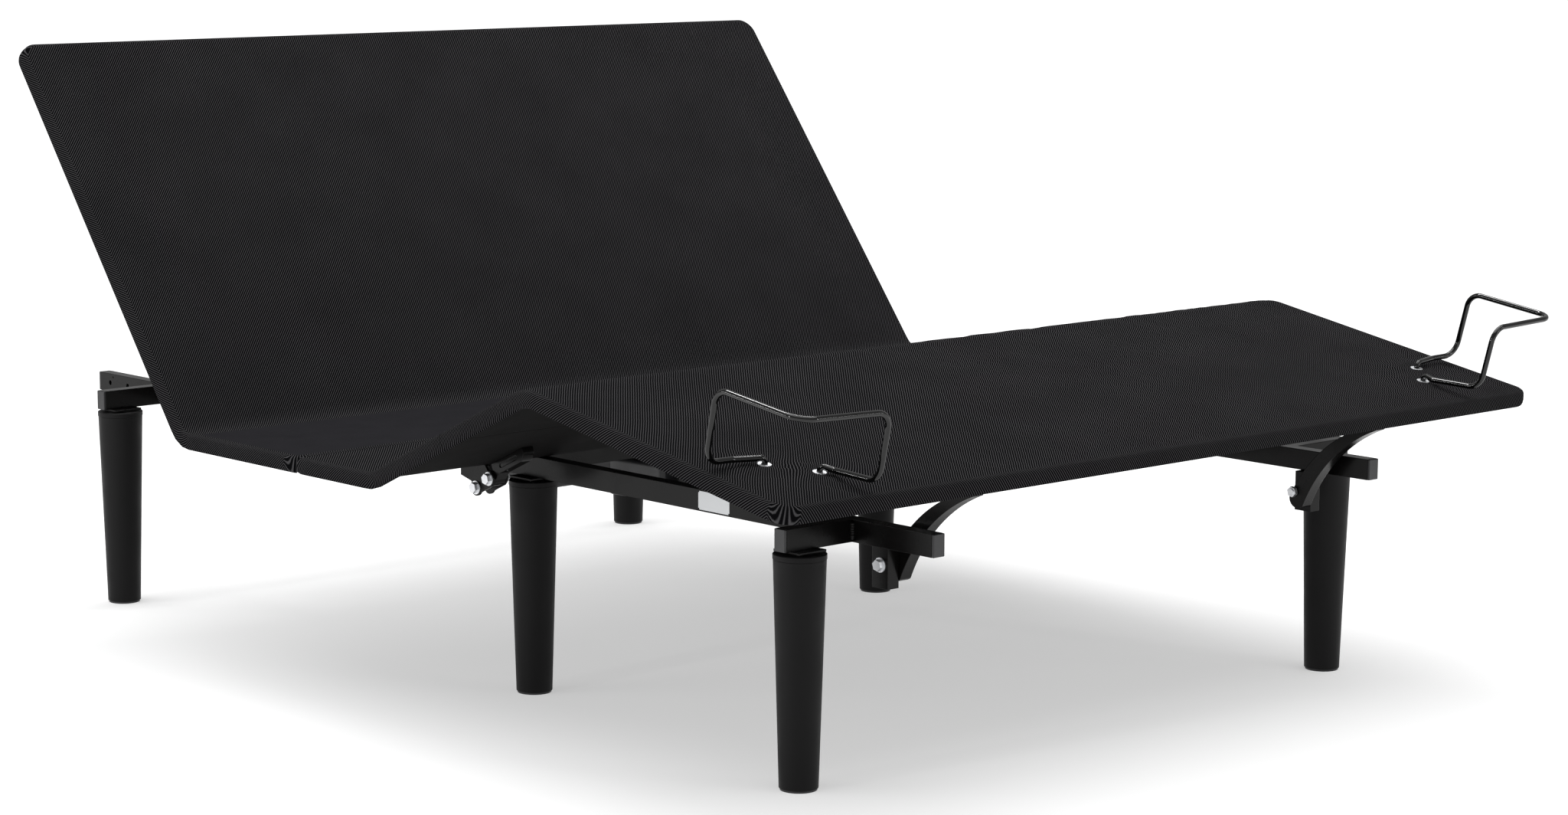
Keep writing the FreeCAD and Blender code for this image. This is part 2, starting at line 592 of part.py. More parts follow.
# ---- swing arms that carry the foot deck ---------------------------------------
SWING_BRACKET_WIDTH = 20.0
SWING_BRACKET_DEPTH = 29.0
SWING_BRACKET_BOTTOM = 259.0
SWING_BRACKET_WALL = 3.0
SWING_EYE_RADIUS = 14.5
STOP_X = (283.0, 333.0)
STOP_AT = (34.0, 62.0)
STOP_DEPTH = 26.0
LUG_GAP = 1.5                # between the arm and the deck's lugs
LUG_PLATE = 3.0
LUG_RADIUS = 10.0
STOP_ROUNDING = 5.0
# Raised arm's outline corners, as (distance from the foot edge, height): heel, middle and toe,
# the foot side of each before its head side
SWING_ARM_OUTLINE = (
    (140.0, 270.0), (164.0, 281.0), (91.0, 343.0), (112.0, 351.0), (12.0, 395.5), (18.0, 402.0))
SWING_HEEL_ROUND = 9.0       # how far the heel's round end stands out past its corners
swing_pin_raised = knee_raised + turned(swing_pin_flat - knee_flat, FOOT_SLOPE)
arm_half = SWING_ARM_WIDTH / 2
swing_bolts = []
pin_lugs = []
for side, sign in (("left", -1), ("right", 1)):
    # Box bracket under the rail
    bracket_inner = SWING_ARM_X + arm_half + 0.5
    bracket_outer = bracket_inner + SWING_BRACKET_WIDTH
    b0, b1 = sorted((sign * bracket_inner, sign * bracket_outer))
    wall = SWING_BRACKET_WALL
    y0 = swing_pivot.y + 1 - SWING_BRACKET_DEPTH / 2
    y1 = y0 + SWING_BRACKET_DEPTH
    hanger = box(b0, b1, y0, y1, SWING_BRACKET_BOTTOM, TUBE_BOTTOM)
    hollow = box(b0 + wall, b1 - wall, y0 + wall, y1 + 1, SWING_BRACKET_BOTTOM - 1, TUBE_BOTTOM - wall)
    hanger = hanger.cut(hollow).cut(rod_x(b0 - 1, b1 + 1, swing_pivot, BOLT_RADIUS))
    save("swing_bracket_" + side, hanger)
    swing_bolts.append(pivot_bolt(sign * bracket_outer, sign * (SWING_ARM_X - arm_half - 1.5), swing_pivot))

    # C-shaped arm from the bracket up to the foot deck, with an eye for the deck's pin and a toe beyond it
    x0, x1 = sign * SWING_ARM_X - arm_half, sign * SWING_ARM_X + arm_half
    heel_foot, heel_head, foot_middle, head_middle, toe_foot, toe_head = [
        yz(at, z) + Vector(x0, 0, 0) for at, z in SWING_ARM_OUTLINE]
    heel_way = (heel_foot + heel_head - foot_middle - head_middle).normalize()
    heel_round = (heel_foot + heel_head) / 2 + heel_way * SWING_HEEL_ROUND
    toe_round = (toe_foot + toe_head) / 2 + Vector(0, -3.5, 0.5)
    profile = Part.Wire([Part.Arc(heel_foot, foot_middle, toe_foot).toShape(),
                         Part.Arc(toe_foot, toe_round, toe_head).toShape(),
                         Part.Arc(toe_head, head_middle, heel_head).toShape(),
                         Part.Arc(heel_head, heel_round, heel_foot).toShape()])
    arm = Part.Face(profile).extrude(Vector(SWING_ARM_WIDTH, 0, 0))
    arm = arm.fuse(rod_x(x0, x1, swing_pin_raised, SWING_EYE_RADIUS))
    arm = arm.cut(rod_x(x0 - 1, x1 + 1, swing_pivot, BOLT_RADIUS + BOLT_FIT))
    arm = arm.cut(rod_x(x0 - 1, x1 + 1, swing_pin_raised, SWING_HOLE_RADIUS))
    save("swing_arm_" + side, arm)

    # Lugs and pin under the foot deck, and a stop that rests on nothing until the deck is flat
    lug_reach = arm_half + LUG_GAP + LUG_PLATE
    lug = rod_x(sign * SWING_ARM_X - lug_reach, sign * SWING_ARM_X + lug_reach, swing_pin_flat, BOLT_RADIUS)
    pin_y, pin_z = swing_pin_flat.y, swing_pin_flat.z
    outline = [(pin_y - 22, BOARD_BOTTOM), (pin_y - 8, pin_z - 6), (pin_y + 8, pin_z - 6),
               (pin_y + 22, BOARD_BOTTOM)]
    for offset in (-lug_reach, arm_half + LUG_GAP):
        l0 = sign * SWING_ARM_X + offset
        l1 = l0 + LUG_PLATE
        lug = lug.fuse(plate(l0, l1, outline).fuse(rod_x(l0, l1, swing_pin_flat, LUG_RADIUS)))
    pin_lugs.append(foot_pose(lug))
    s0, s1 = sorted((sign * STOP_X[0], sign * STOP_X[1]))
    stop_bottom = BOARD_BOTTOM - STOP_DEPTH
    stop = box(s0, s1, foot_edge_flat + STOP_AT[0], foot_edge_flat + STOP_AT[1], stop_bottom, BOARD_BOTTOM)
    lower_edges = [edge for edge in stop.Edges if edge.CenterOfMass.z < stop_bottom + 0.01]
    pin_lugs.append(foot_pose(stop.makeFillet(STOP_ROUNDING, lower_edges)))
save("swing_pivot_bolts", swing_bolts)
save("foot_deck_lugs", pin_lugs)


# ---- linear actuators -----------------------------------------------------------
CASE_HALF_WIDTH = 34.0
CASE_LOW = 26.0              # case below and above the rod's line
CASE_HIGH = 34.0
CASE_SPAN = (20.0, 150.0)    # distances from the rear pin
CASE_ROUNDING = 8.0
MOTOR_SPAN = (100.0, 170.0)
MOTOR_RADIUS = 24.0
EYE_HALF_WIDTH = 9.0
REAR_EYE_RADIUS = 11.0
REAR_EYE_HALF_HEIGHT = 10.0
EYE_LENGTH = 22.0
SLEEVE_FLOOR = 4.0           # solid end of the outer tube
ROD_EYE_RADIUS = 10.5
ROD_EYE_HALF_WIDTH = 10.0
PIN_OVERHANG = 4.0           # push rod's pin past each lever plate
TUBE_RADIUS = 17.0
ROD_RADIUS = 10.0
LEVER_GAP = 13.0
LEVER_TIP_HALF = 14.0        # half the lever's breadth at its tip
SLOT_RIM = 8.0               # metal round the slot
LEVER_PLATE = 5.0


def actuator(prefix, x, rear, pin, way, tube_end, rod_start):
    """Motor case, outer tube and push rod, drawn along Y and tipped about the rear pin.

    way is +1 when the rod points to the head end. tube_end and rod_start are
    distances from the rear pin.
    """
    line = pin - rear
    tip = math.degrees(math.atan2(line.z, way * line.y)) * way

    def span(start, stop):
        return sorted((rear.y + way * start, rear.y + way * stop))

    eye0, eye1 = span(0, EYE_LENGTH)
    left, right = x - EYE_HALF_WIDTH, x + EYE_HALF_WIDTH
    eye = box(left, right, eye0, eye1, rear.z - REAR_EYE_HALF_HEIGHT, rear.z + REAR_EYE_HALF_HEIGHT)
    eye = eye.fuse(rod_x(left, right, rear, REAR_EYE_RADIUS))
    case0, case1 = span(*CASE_SPAN)
    case = box(x - CASE_HALF_WIDTH, x + CASE_HALF_WIDTH, case0, case1, rear.z - CASE_LOW, rear.z + CASE_HIGH)
    case = case.makeFillet(CASE_ROUNDING, case.Edges)
    can0, can1 = span(*MOTOR_SPAN)
    motor = rod_y(x, can0, can1, rear.z + (CASE_HIGH - MOTOR_RADIUS) / 2 + 1, MOTOR_RADIUS)
    pin_bore = rod_x(left - 3, right + 3, rear, ROD_PIN_RADIUS + BOLT_FIT)
    case = case.fuse(eye).fuse(motor).cut(pin_bore)
    tube0, tube1 = span(MOTOR_SPAN[1], tube_end)
    bore0, bore1 = span(MOTOR_SPAN[1] + SLEEVE_FLOOR, tube_end + 1)
    bore = rod_y(x, bore0, bore1, rear.z, ROD_RADIUS + BOLT_FIT)
    sleeve = rod_y(x, tube0, tube1, rear.z, TUBE_RADIUS).cut(bore)
    rod0, rod1 = span(rod_start, line.Length)
    rod_end = Vector(0, rear.y + way * line.Length, rear.z)
    rod_eye = rod_x(x - ROD_EYE_HALF_WIDTH, x + ROD_EYE_HALF_WIDTH, rod_end, ROD_EYE_RADIUS)
    shaft = rod_y(x, rod0, rod1, rear.z, ROD_RADIUS).fuse(rod_eye)
    shaft = shaft.cut(rod_x(x - ROD_EYE_HALF_WIDTH - 2, x + ROD_EYE_HALF_WIDTH + 2, rod_end, ROD_PIN_RADIUS))
    pin_half = LEVER_GAP + LEVER_PLATE + PIN_OVERHANG
    cross_pin = rod_x(x - pin_half, x + pin_half, rod_end, ROD_PIN_RADIUS)
    save(prefix + "_motor", swung(case, rear, tip))
    save(prefix + "_outer_tube", swung(sleeve, rear, tip))
    save(prefix + "_push_rod", [swung(shaft, rear, tip), swung(cross_pin, rear, tip)])


def lever(x, hinge, hinge_to_pin_flat, base_y0, base_y1, slot_from, slot_to, slot_radius):
    """Two plates under a lifting deck; the push rod's pin works in their slots."""
    direction = Vector(hinge_to_pin_flat).normalize()
    reach = hinge_to_pin_flat.Length
    tip = hinge + direction * (reach + slot_radius)
    side = Vector(0, -direction.z, direction.y)
    outline = [(base_y0, BOARD_BOTTOM), (tip.y - side.y * LEVER_TIP_HALF, tip.z - side.z * LEVER_TIP_HALF),
               (tip.y + side.y * LEVER_TIP_HALF, tip.z + side.z * LEVER_TIP_HALF), (base_y1, BOARD_BOTTOM)]
    slot_a = hinge + direction * slot_from
    slot_b = hinge + direction * slot_to
    plates_made = []
    for offset in (-LEVER_GAP - LEVER_PLATE, LEVER_GAP):
        x0 = x + offset
        x1 = x0 + LEVER_PLATE
        body = plate(x0, x1, outline).fuse(rod_x(x0, x1, slot_b, slot_radius + SLOT_RIM))
        body = body.fuse(rod_x(x0, x1, slot_a, slot_radius + SLOT_RIM))
        slot = rod_x(x0 - 1, x1 + 1, slot_a, slot_radius)
        slot = slot.fuse(rod_x(x0 - 1, x1 + 1, slot_b, slot_radius))
        middle = plate(x0 - 1, x1 + 1, [
            (slot_a.y + side.y * slot_radius, slot_a.z + side.z * slot_radius),
            (slot_b.y + side.y * slot_radius, slot_b.z + side.z * slot_radius),
            (slot_b.y - side.y * slot_radius, slot_b.z - side.z * slot_radius),
            (slot_a.y - side.y * slot_radius, slot_a.z - side.z * slot_radius)])
        plates_made.append(body.cut(slot.fuse(middle)))
    low, high = sorted((base_y0, base_y1))
    foot = box(x - LEVER_GAP, x + LEVER_GAP, low + 4, high - 4, BOARD_BOTTOM - 4, BOARD_BOTTOM)
    return plates_made[0].fuse(plates_made[1]).fuse(foot)


def on_circle(hinge, degrees):
    angle = math.radians(degrees)
    return hinge + Vector(0, math.cos(angle), math.sin(angle)) * LEVER_RADIUS


head_rear = yz(HEAD_MOTOR_BAR_AT, ACTUATOR_Z)
leg_rear = yz(LEG_MOTOR_BAR_AT, ACTUATOR_Z)
head_pin_raised = on_circle(head_hinge, HEAD_LEVER_ANGLE)
head_pin_flat = on_circle(head_hinge, HEAD_LEVER_ANGLE - HEAD_ANGLE)
leg_pin_raised = on_circle(thigh_hinge, LEG_LEVER_ANGLE)
leg_pin_flat = on_circle(thigh_hinge, LEG_LEVER_ANGLE + THIGH_ANGLE)
actuator("head", HEAD_ACTUATOR_X, head_rear, head_pin_raised, 1, 300.0, 268.0)
actuator("leg", LEG_ACTUATOR_X, leg_rear, leg_pin_raised, -1, 320.0, 270.0)
save("head_lever", head_pose(lever(HEAD_ACTUATOR_X, head_hinge, head_pin_flat - head_hinge,
                                   head_hinge.y + 24, head_hinge.y + 120, 79.5, 90.5, 9.0)))
save("thigh_lever", thigh_pose(lever(LEG_ACTUATOR_X, thigh_hinge, leg_pin_flat - thigh_hinge,
                                     thigh_hinge.y - 20, thigh_hinge.y - 110, 89.0, 91.0, 9.0)))

# Clevises that hold the motors' rear eyes below their crossbars
CLEVIS_HALF_WIDTH = 14.5
CLEVIS_PLATE = 4.0
CLEVIS_RADIUS = 10.0
CLEVIS_PIN_HALF = 17.0
for prefix, clevis_x, rear in (("head", HEAD_ACTUATOR_X, head_rear), ("leg", LEG_ACTUATOR_X, leg_rear)):
    y0, y1 = rear.y - CLEVIS_RADIUS, rear.y + CLEVIS_RADIUS
    ears = []
    for x0 in (clevis_x - CLEVIS_HALF_WIDTH, clevis_x + CLEVIS_HALF_WIDTH - CLEVIS_PLATE):
        x1 = x0 + CLEVIS_PLATE
        ears.append(box(x0, x1, y0, y1, rear.z, TUBE_BOTTOM).fuse(rod_x(x0, x1, rear, CLEVIS_RADIUS)))
    base = box(clevis_x - CLEVIS_HALF_WIDTH, clevis_x + CLEVIS_HALF_WIDTH, y0, y1,
               TUBE_BOTTOM - CLEVIS_PLATE, TUBE_BOTTOM)
    cross_pin = rod_x(clevis_x - CLEVIS_PIN_HALF, clevis_x + CLEVIS_PIN_HALF, rear, ROD_PIN_RADIUS)
    save(prefix + "_motor_clevis", ears[0].fuse(ears[1]).fuse(base).fuse(cross_pin))

# ---- electrics under the seam --------------------------------------------------
SOCKET_DEPTH = 7.0
SOCKET_LOW = 26.0            # socket's lower and upper lips below the bars
SOCKET_HIGH = 11.0


def moulded_case(x0, x1, half_length, depth, corner, socket_x0, socket_x1, socket_face):
    """Case hung under the seam bars, with one socket; socket_face is +1 on its head end."""
    case = box(x0, x1, seam - half_length, seam + half_length, TUBE_BOTTOM - depth, TUBE_BOTTOM)
    case = case.makeFillet(corner, case.Edges)
    mouth = seam + socket_face * (half_length + 1)
    y0, y1 = sorted((mouth - socket_face * (SOCKET_DEPTH + 1), mouth))
    return case.cut(box(socket_x0, socket_x1, y0, y1, TUBE_BOTTOM - SOCKET_LOW, TUBE_BOTTOM - SOCKET_HIGH))


save("control_box", moulded_case(230, 350, 55, 34, 4, 270, 310, -1))
save("power_supply", moulded_case(-350, -240, 80, 38, 6, -310, -280, 1))


# ---- mattress retainer bars at the foot corners ---------------------------------
def bent_rod(points, bends, radius):
    """A round rod along straight runs joined by tangent arcs."""
    edges = []
    start = points[0]
    for k in range(1, len(points) - 1):
        corner = points[k]
        to_last = (start - corner).normalize()
        to_next = (points[k + 1] - corner).normalize()
        turn = math.pi - to_last.getAngle(to_next)
        setback = bends[k - 1] * math.tan(turn / 2)
        arc_start = corner + to_last * setback
        arc_end = corner + to_next * setback
        bisector = (to_last + to_next).normalize()
        to_centre = bends[k - 1] / math.cos(turn / 2)
        arc_middle = corner + bisector * (to_centre - bends[k - 1])
        edges.append(Part.LineSegment(start, arc_start).toShape())
        edges.append(Part.Arc(arc_start, arc_middle, arc_end).toShape())
        start = arc_end
    edges.append(Part.LineSegment(start, points[-1]).toShape())
    path = Part.Wire(edges)
    section = Part.Wire([Part.makeCircle(radius, points[0], points[1] - points[0])])
    return path.makePipeShell([section], True, True)


# Corners as (x, distance in from the foot edge, height over the deck), then bend radii
RETAINER_CORNERS = (
    (655, 142, -13), (655, 142, 10), (702, 152, 9.5), (750, 146, 13), (753, 141, 110),
    (753, -10, 115), (607, -14, 112), (605, -9, 21), (602, 72, 9.5), (607, 92.5, 10), (607, 92.5, -13))
RETAINER_BENDS = (7, 16, 24, 22, 28, 22, 24, 10, 7)
RETAINER_WASHER_HEIGHT = 2.0
washers = []
for side, sign in (("left", -1), ("right", 1)):
    corners = []
    for x, inward, height in RETAINER_CORNERS:
        corners.append(Vector(sign * x, foot_edge_flat + inward, DECK_TOP + height))
    save("retainer_bar_" + side, foot_pose(bent_rod(corners, RETAINER_BENDS, RETAINER_ROD)))
    for foot_x, foot_y in RETAINER_FEET:
        x, y = sign * foot_x, foot_edge_flat + foot_y
        washer_top = DECK_TOP + RETAINER_WASHER_HEIGHT
        ring = rod_z(x, y, DECK_TOP, washer_top, RETAINER_WASHER_RADIUS)
        bore = rod_z(x, y, DECK_TOP - 1, washer_top + 1, RETAINER_ROD + BOLT_FIT)
        washers.append(foot_pose(ring.cut(bore)))
save("retainer_washers", washers)
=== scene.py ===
import math

import bmesh
import bpy
import numpy as np
from mathutils import Matrix, Vector


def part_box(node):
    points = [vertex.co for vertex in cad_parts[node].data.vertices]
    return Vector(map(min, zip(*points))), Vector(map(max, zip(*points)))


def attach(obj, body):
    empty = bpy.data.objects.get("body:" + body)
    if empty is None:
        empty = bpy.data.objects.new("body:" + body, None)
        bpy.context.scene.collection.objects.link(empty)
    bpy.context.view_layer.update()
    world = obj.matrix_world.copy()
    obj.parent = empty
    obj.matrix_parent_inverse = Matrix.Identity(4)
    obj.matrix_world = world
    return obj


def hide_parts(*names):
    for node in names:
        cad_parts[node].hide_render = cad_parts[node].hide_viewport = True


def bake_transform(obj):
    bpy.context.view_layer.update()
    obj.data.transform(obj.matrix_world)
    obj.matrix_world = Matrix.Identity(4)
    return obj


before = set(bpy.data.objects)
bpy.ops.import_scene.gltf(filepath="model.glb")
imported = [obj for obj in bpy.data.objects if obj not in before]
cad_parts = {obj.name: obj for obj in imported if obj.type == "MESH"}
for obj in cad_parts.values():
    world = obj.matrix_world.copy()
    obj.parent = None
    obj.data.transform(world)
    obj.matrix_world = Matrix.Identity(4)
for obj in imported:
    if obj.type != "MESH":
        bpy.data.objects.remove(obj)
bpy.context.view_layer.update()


# ---- Head half of the padded deck ---------------------------------------------------------
# One black ribbed cover over felt and plywood, pulled round the edges and stapled underneath.
# It starts at the seam, lies across the seat, folds at the head hinge and goes up the back rest.
HALF_WIDTH = 0.750
DECK_TOP = 0.358
EDGE_RADIUS = 0.0065
SHELL_DEPTH = 0.0119
RIM_DEPTH = 0.0240
CORNER_ZONE = 0.028
CELL = 0.0094
# How the cloth turns under at the edge: (distance in from the outer face, height below the top)
RIM_TURN = ((-0.0006, -0.0098), (-0.0010, -0.0132), (-0.0007, -0.0185), (0.0005, -0.0217),
            (0.0025, -0.0235), (0.0058, -RIM_DEPTH), (0.0098, -0.0237), (0.0119, -0.0215),
            (0.0127, -0.0170), (0.0132, -SHELL_DEPTH))
ZONE_STEPS = (0.0, 0.12, 0.26, 0.42, 0.6, 0.8)
CORNER_SQUARENESS = 0.06     # how little a thin corner at the seam is rounded
CORNER_EASE = 1.4            # how much less the edge band's ribs run on round a corner
RIDGE_EASE = 0.018           # the underside of a ridge is raised to leave room for the boards
RIDGE_ROOM = 0.022
SWELL_HEIGHT = 0.0034        # rise of the cloth round a retainer washer
SWELL_REACH = 0.034
HOLE_REACH = 0.014
RIB_PINCH = 0.45
PLAIN_BORDER = 0.004         # ribbed border round the plain seat
PLAIN_SEAT_LENGTH = 0.262
HELD_ROWS = 4                # rows of the cover by each edge that the staples hold still
FULLNESS_LIMIT = 0.0035      # most that the cloth may lift off the felt
SETTLING_FRAMES = 16
RIB_PITCH = 0.00308
RIB_ANGLE = math.radians(-40.2)
RIB_WANDER = 0.03
STITCH_LENGTH = 0.0016


def node(tree, kind, inputs=None, **settings):
    """One shader or geometry node, with its inputs set to values or joined to other sockets."""
    made = tree.nodes.new(kind)
    for key, value in settings.items():
        setattr(made, key, value)
    for key, value in (inputs or {}).items():
        if isinstance(value, bpy.types.NodeSocket):
            tree.links.new(value, made.inputs[key])
        else:
            made.inputs[key].default_value = value
    return made


def side_profile(start, way, turns, ridge_radius=0.0):
    """The cover's top line seen from the side: turns gives the slope at distances along it.
    Where it rounds over a ridge, lift is how far it drops below the boards' own line."""
    step = 0.001
    s = np.arange(0.0, turns[-1][0] + step / 2, step)
    slope = np.radians(np.interp(s, [turn[0] for turn in turns], [turn[1] for turn in turns]))
    middle = (slope[1:] + slope[:-1]) / 2
    y = start[0] + way * np.concatenate(([0.0], np.cumsum(np.cos(middle) * step)))
    z = start[1] + np.concatenate(([0.0], np.cumsum(np.sin(middle) * step)))
    turned = np.minimum(abs(slope - slope[0]), abs(slope - slope[-1]))
    first, last = turns[1][0], turns[2][0]
    room = np.interp(s, [first - RIDGE_EASE, first, last, last + RIDGE_EASE], [0.0, 1.0, 1.0, 0.0])
    lift = ridge_radius * (1 - np.cos(turned) + RIDGE_ROOM * room)
    return {"s": s, "slope": slope, "y": y, "z": z, "lift": lift, "way": way, "length": turns[-1][0]}


def padded_panel(name, profile, ends, cloth_start):
    """Closed skin of one upholstered stretch, drawn flat and laid along its side profile.
    An end is a padded "rim", a thin "seam" or a "cut" where the next stretch carries on."""
    length = profile["length"]
    zone = CORNER_ZONE

    def grid_lines(total):
        near = [zone * step for step in ZONE_STEPS]
        count = round((total - 2 * zone) / CELL)
        between = [zone + (total - 2 * zone) * i / count for i in range(count + 1)]
        return near + between + [total - place for place in reversed(near)]

    xs = [place - HALF_WIDTH for place in grid_lines(2 * HALF_WIDTH)]
    ss = grid_lines(length)
    last_column, last_row = len(xs) - 1, len(ss) - 1

    def plan(x, s, inset):
        """Where a grid point lies once the panel's edge is drawn in and its corners are rounded."""
        end, from_end = (ends[0], s) if s < length / 2 else (ends[1], length - s)
        a = (abs(x) - HALF_WIDTH + zone) / zone
        b = 0.0 if end == "cut" else (zone - from_end) / zone
        if a > 0 and b > 0:
            if end == "rim":
                a, b = a * math.sqrt(1 - b * b / 2), b * math.sqrt(1 - a * a / 2)
            else:
                a, b = a * (1 - CORNER_SQUARENESS * b ** 8), b * (1 - CORNER_SQUARENESS * a ** 8)
        if a > 0:
            x = math.copysign(HALF_WIDTH - zone + a * (zone - inset), x)
        if b > 0:
            from_end = zone - b * (zone - inset)
            s = from_end if s < length / 2 else length - from_end
        return x, s

    points = []
    cloth = []

    def add(x, s, height, across, along):
        if height == 0.0:
            height, across, along = gathered(name, x, s, across, along)
        slope = np.interp(s, profile["s"], profile["slope"])
        y = np.interp(s, profile["s"], profile["y"]) - profile["way"] * math.sin(slope) * height
        z = np.interp(s, profile["s"], profile["z"]) + math.cos(slope) * height
        points.append((x, y, z))
        cloth.append((across, profile["way"] * (along + cloth_start)))
        return len(points) - 1

    def flat_point(i, j, inset, height):
        x, s = plan(xs[i], ss[j], inset)
        if height < 0:
            height += np.interp(s, profile["s"], profile["lift"])
        return add(x, s, height, x, s)

    def edge_point(i, j, inset, height, drawn):
        end = ends[0] if j == 0 else ends[1]
        inside_end = j in (0, last_row) and 0 < i < last_column
        if inside_end and end == "cut":
            share = drawn / rim[-1][2]
            inset = EDGE_RADIUS + share * (RIM_TURN[-1][0] - EDGE_RADIUS)
            height = -SHELL_DEPTH * share
        if inside_end and end == "seam":
            height = max(height, -SHELL_DEPTH)
        top_x, top_s = plan(xs[i], ss[j], EDGE_RADIUS)
        outer_x, outer_s = plan(xs[i], ss[j], 0.0)
        way_out = Vector((outer_x - top_x, outer_s - top_s)).normalized()
        run = way_out * drawn * (1 - CORNER_EASE * abs(way_out.x * way_out.y))
        x, s = plan(xs[i], ss[j], inset)
        return add(x, s, height, top_x - run.x, top_s - run.y)

    rim = []
    for step in range(1, 5):
        swing = math.radians(22.5 * step)
        inset, height = EDGE_RADIUS * (1 - math.sin(swing)), EDGE_RADIUS * (math.cos(swing) - 1)
        rim.append((inset, height, EDGE_RADIUS * swing))
    for inset, height in RIM_TURN:
        reach = math.hypot(inset - rim[-1][0], height - rim[-1][1])
        rim.append((inset, height, rim[-1][2] + reach))

    top = [[flat_point(i, j, EDGE_RADIUS, 0.0) for j in range(len(ss))] for i in range(len(xs))]
    faces = []
    finish_of = []

    def add_grid(grid, finish):
        for i in range(last_column):
            for j in range(last_row):
                faces.append((grid[i][j], grid[i + 1][j], grid[i + 1][j + 1], grid[i][j + 1]))
                finish_of.append(finish(i, j))

    add_grid(top, lambda i, j: 2 if plain_seat(name, xs[i], ss[j], xs[i + 1], ss[j + 1]) else 0)
    loop = [(i, 0) for i in range(last_column)] + [(last_column, j) for j in range(last_row)]
    loop += [(i, last_row) for i in range(last_column, 0, -1)] + [(0, j) for j in range(last_row, 0, -1)]
    above = [top[i][j] for i, j in loop]
    for turn in rim:
        ring = [edge_point(i, j, *turn) for i, j in loop]
        for k in range(len(loop)):
            after = (k + 1) % len(loop)
            faces.append((above[k], ring[k], ring[after], above[after]))
            j0, j1 = loop[k][1], loop[after][1]
            is_cap = (j0 == j1 == 0 and ends[0] == "cut") or (j0 == j1 == last_row and ends[1] == "cut")
            finish_of.append(3 if is_cap else 0)
        above = ring
    under = [[0] * len(ss) for _ in xs]
    for i in range(1, last_column):
        for j in range(1, last_row):
            under[i][j] = flat_point(i, j, RIM_TURN[-1][0], -SHELL_DEPTH)
    for (i, j), index in zip(loop, above):
        under[i][j] = index
    add_grid(under, lambda i, j: 1)

    mesh = bpy.data.meshes.new(name)
    mesh.from_pydata(points, [], faces)
    layer = mesh.uv_layers.new(name="cloth")
    corner_point = np.zeros(len(mesh.loops), dtype=np.int32)
    mesh.loops.foreach_get("vertex_index", corner_point)
    layer.data.foreach_set("uv", np.array(cloth, dtype=np.float32)[corner_point].ravel())
    mesh.polygons.foreach_set("use_smooth", [finish != 3 for finish in finish_of])
    mesh.polygons.foreach_set("material_index", [finish % 3 for finish in finish_of])
    shape = bmesh.new()
    shape.from_mesh(mesh)
    bmesh.ops.recalc_face_normals(shape, faces=shape.faces)
    shape.to_mesh(mesh)
    shape.free()
    panel = bpy.data.objects.new(name, mesh)
    bpy.context.scene.collection.objects.link(panel)
    held = panel.vertex_groups.new(name="held")
    loose_columns = range(HELD_ROWS, last_column - HELD_ROWS + 1)
    loose_rows = range(HELD_ROWS, last_row - HELD_ROWS + 1)
    free = [top[i][j] for i in loose_columns for j in loose_rows]
    held.add([index for index in range(len(points))], 1.0, "REPLACE")
    held.add(free, 0.25, "REPLACE")
    return panel


def gathered(name, x, s, across, along):
    """The cloth swells round each retainer washer and its ribs are drawn towards the hole."""
    height = 0.0
    if name == "deck_foot_half_knee":
        for washer_x, washer_s in washer_places:
            out = Vector((x - washer_x, s - washer_s))
            near = math.exp(-(out.length / SWELL_REACH) ** 2)
            height += SWELL_HEIGHT * near * (1 - math.exp(-(out.length / HOLE_REACH) ** 2))
            across += RIB_PINCH * out.x * near
            along += RIB_PINCH * out.y * near
    return height, across, along


def plain_seat(name, x0, s0, x1, s1):
    """The seat's middle is smooth cloth inside a ribbed border."""
    inside = max(abs(x0), abs(x1)) < HALF_WIDTH - PLAIN_BORDER
    return name == "deck_head_half" and inside and s0 > PLAIN_BORDER and s1 < PLAIN_SEAT_LENGTH


def settle_cloth(panel):
    """Lets the cover find its own slight fullness over the felt, never more than a few millimetres."""
    before = np.array([vertex.co for vertex in panel.data.vertices])
    cloth = panel.modifiers.new("Cloth", "CLOTH")
    cloth.settings.vertex_group_mass = "held"
    cloth.settings.quality = 4
    cloth.settings.mass = 0.3
    cloth.settings.shrink_min = -0.012
    cloth.settings.tension_stiffness = 12.0
    cloth.settings.compression_stiffness = 12.0
    cloth.settings.bending_stiffness = 0.4
    cloth.settings.pin_stiffness = 1.2
    cloth.settings.use_pressure = True
    cloth.settings.uniform_pressure_force = 0.12
    cloth.settings.effector_weights.gravity = 0.0
    cloth.collision_settings.use_collision = False
    cloth.point_cache.frame_start = 1
    cloth.point_cache.frame_end = SETTLING_FRAMES
    for moment in range(1, SETTLING_FRAMES + 1):
        bpy.context.scene.frame_set(moment)
    settled = bpy.data.meshes.new_from_object(panel.evaluated_get(bpy.context.evaluated_depsgraph_get()))
    after = np.array([vertex.co for vertex in settled.vertices])
    panel.modifiers.remove(cloth)
    bpy.context.scene.frame_set(1)
    moved = after - before
    reach = np.linalg.norm(moved, axis=1, keepdims=True)
    moved *= np.minimum(1.0, FULLNESS_LIMIT / np.maximum(reach, 1e-9))
    panel.data.vertices.foreach_set("co", (before + moved).astype(np.float32).ravel())
    panel.data.update()


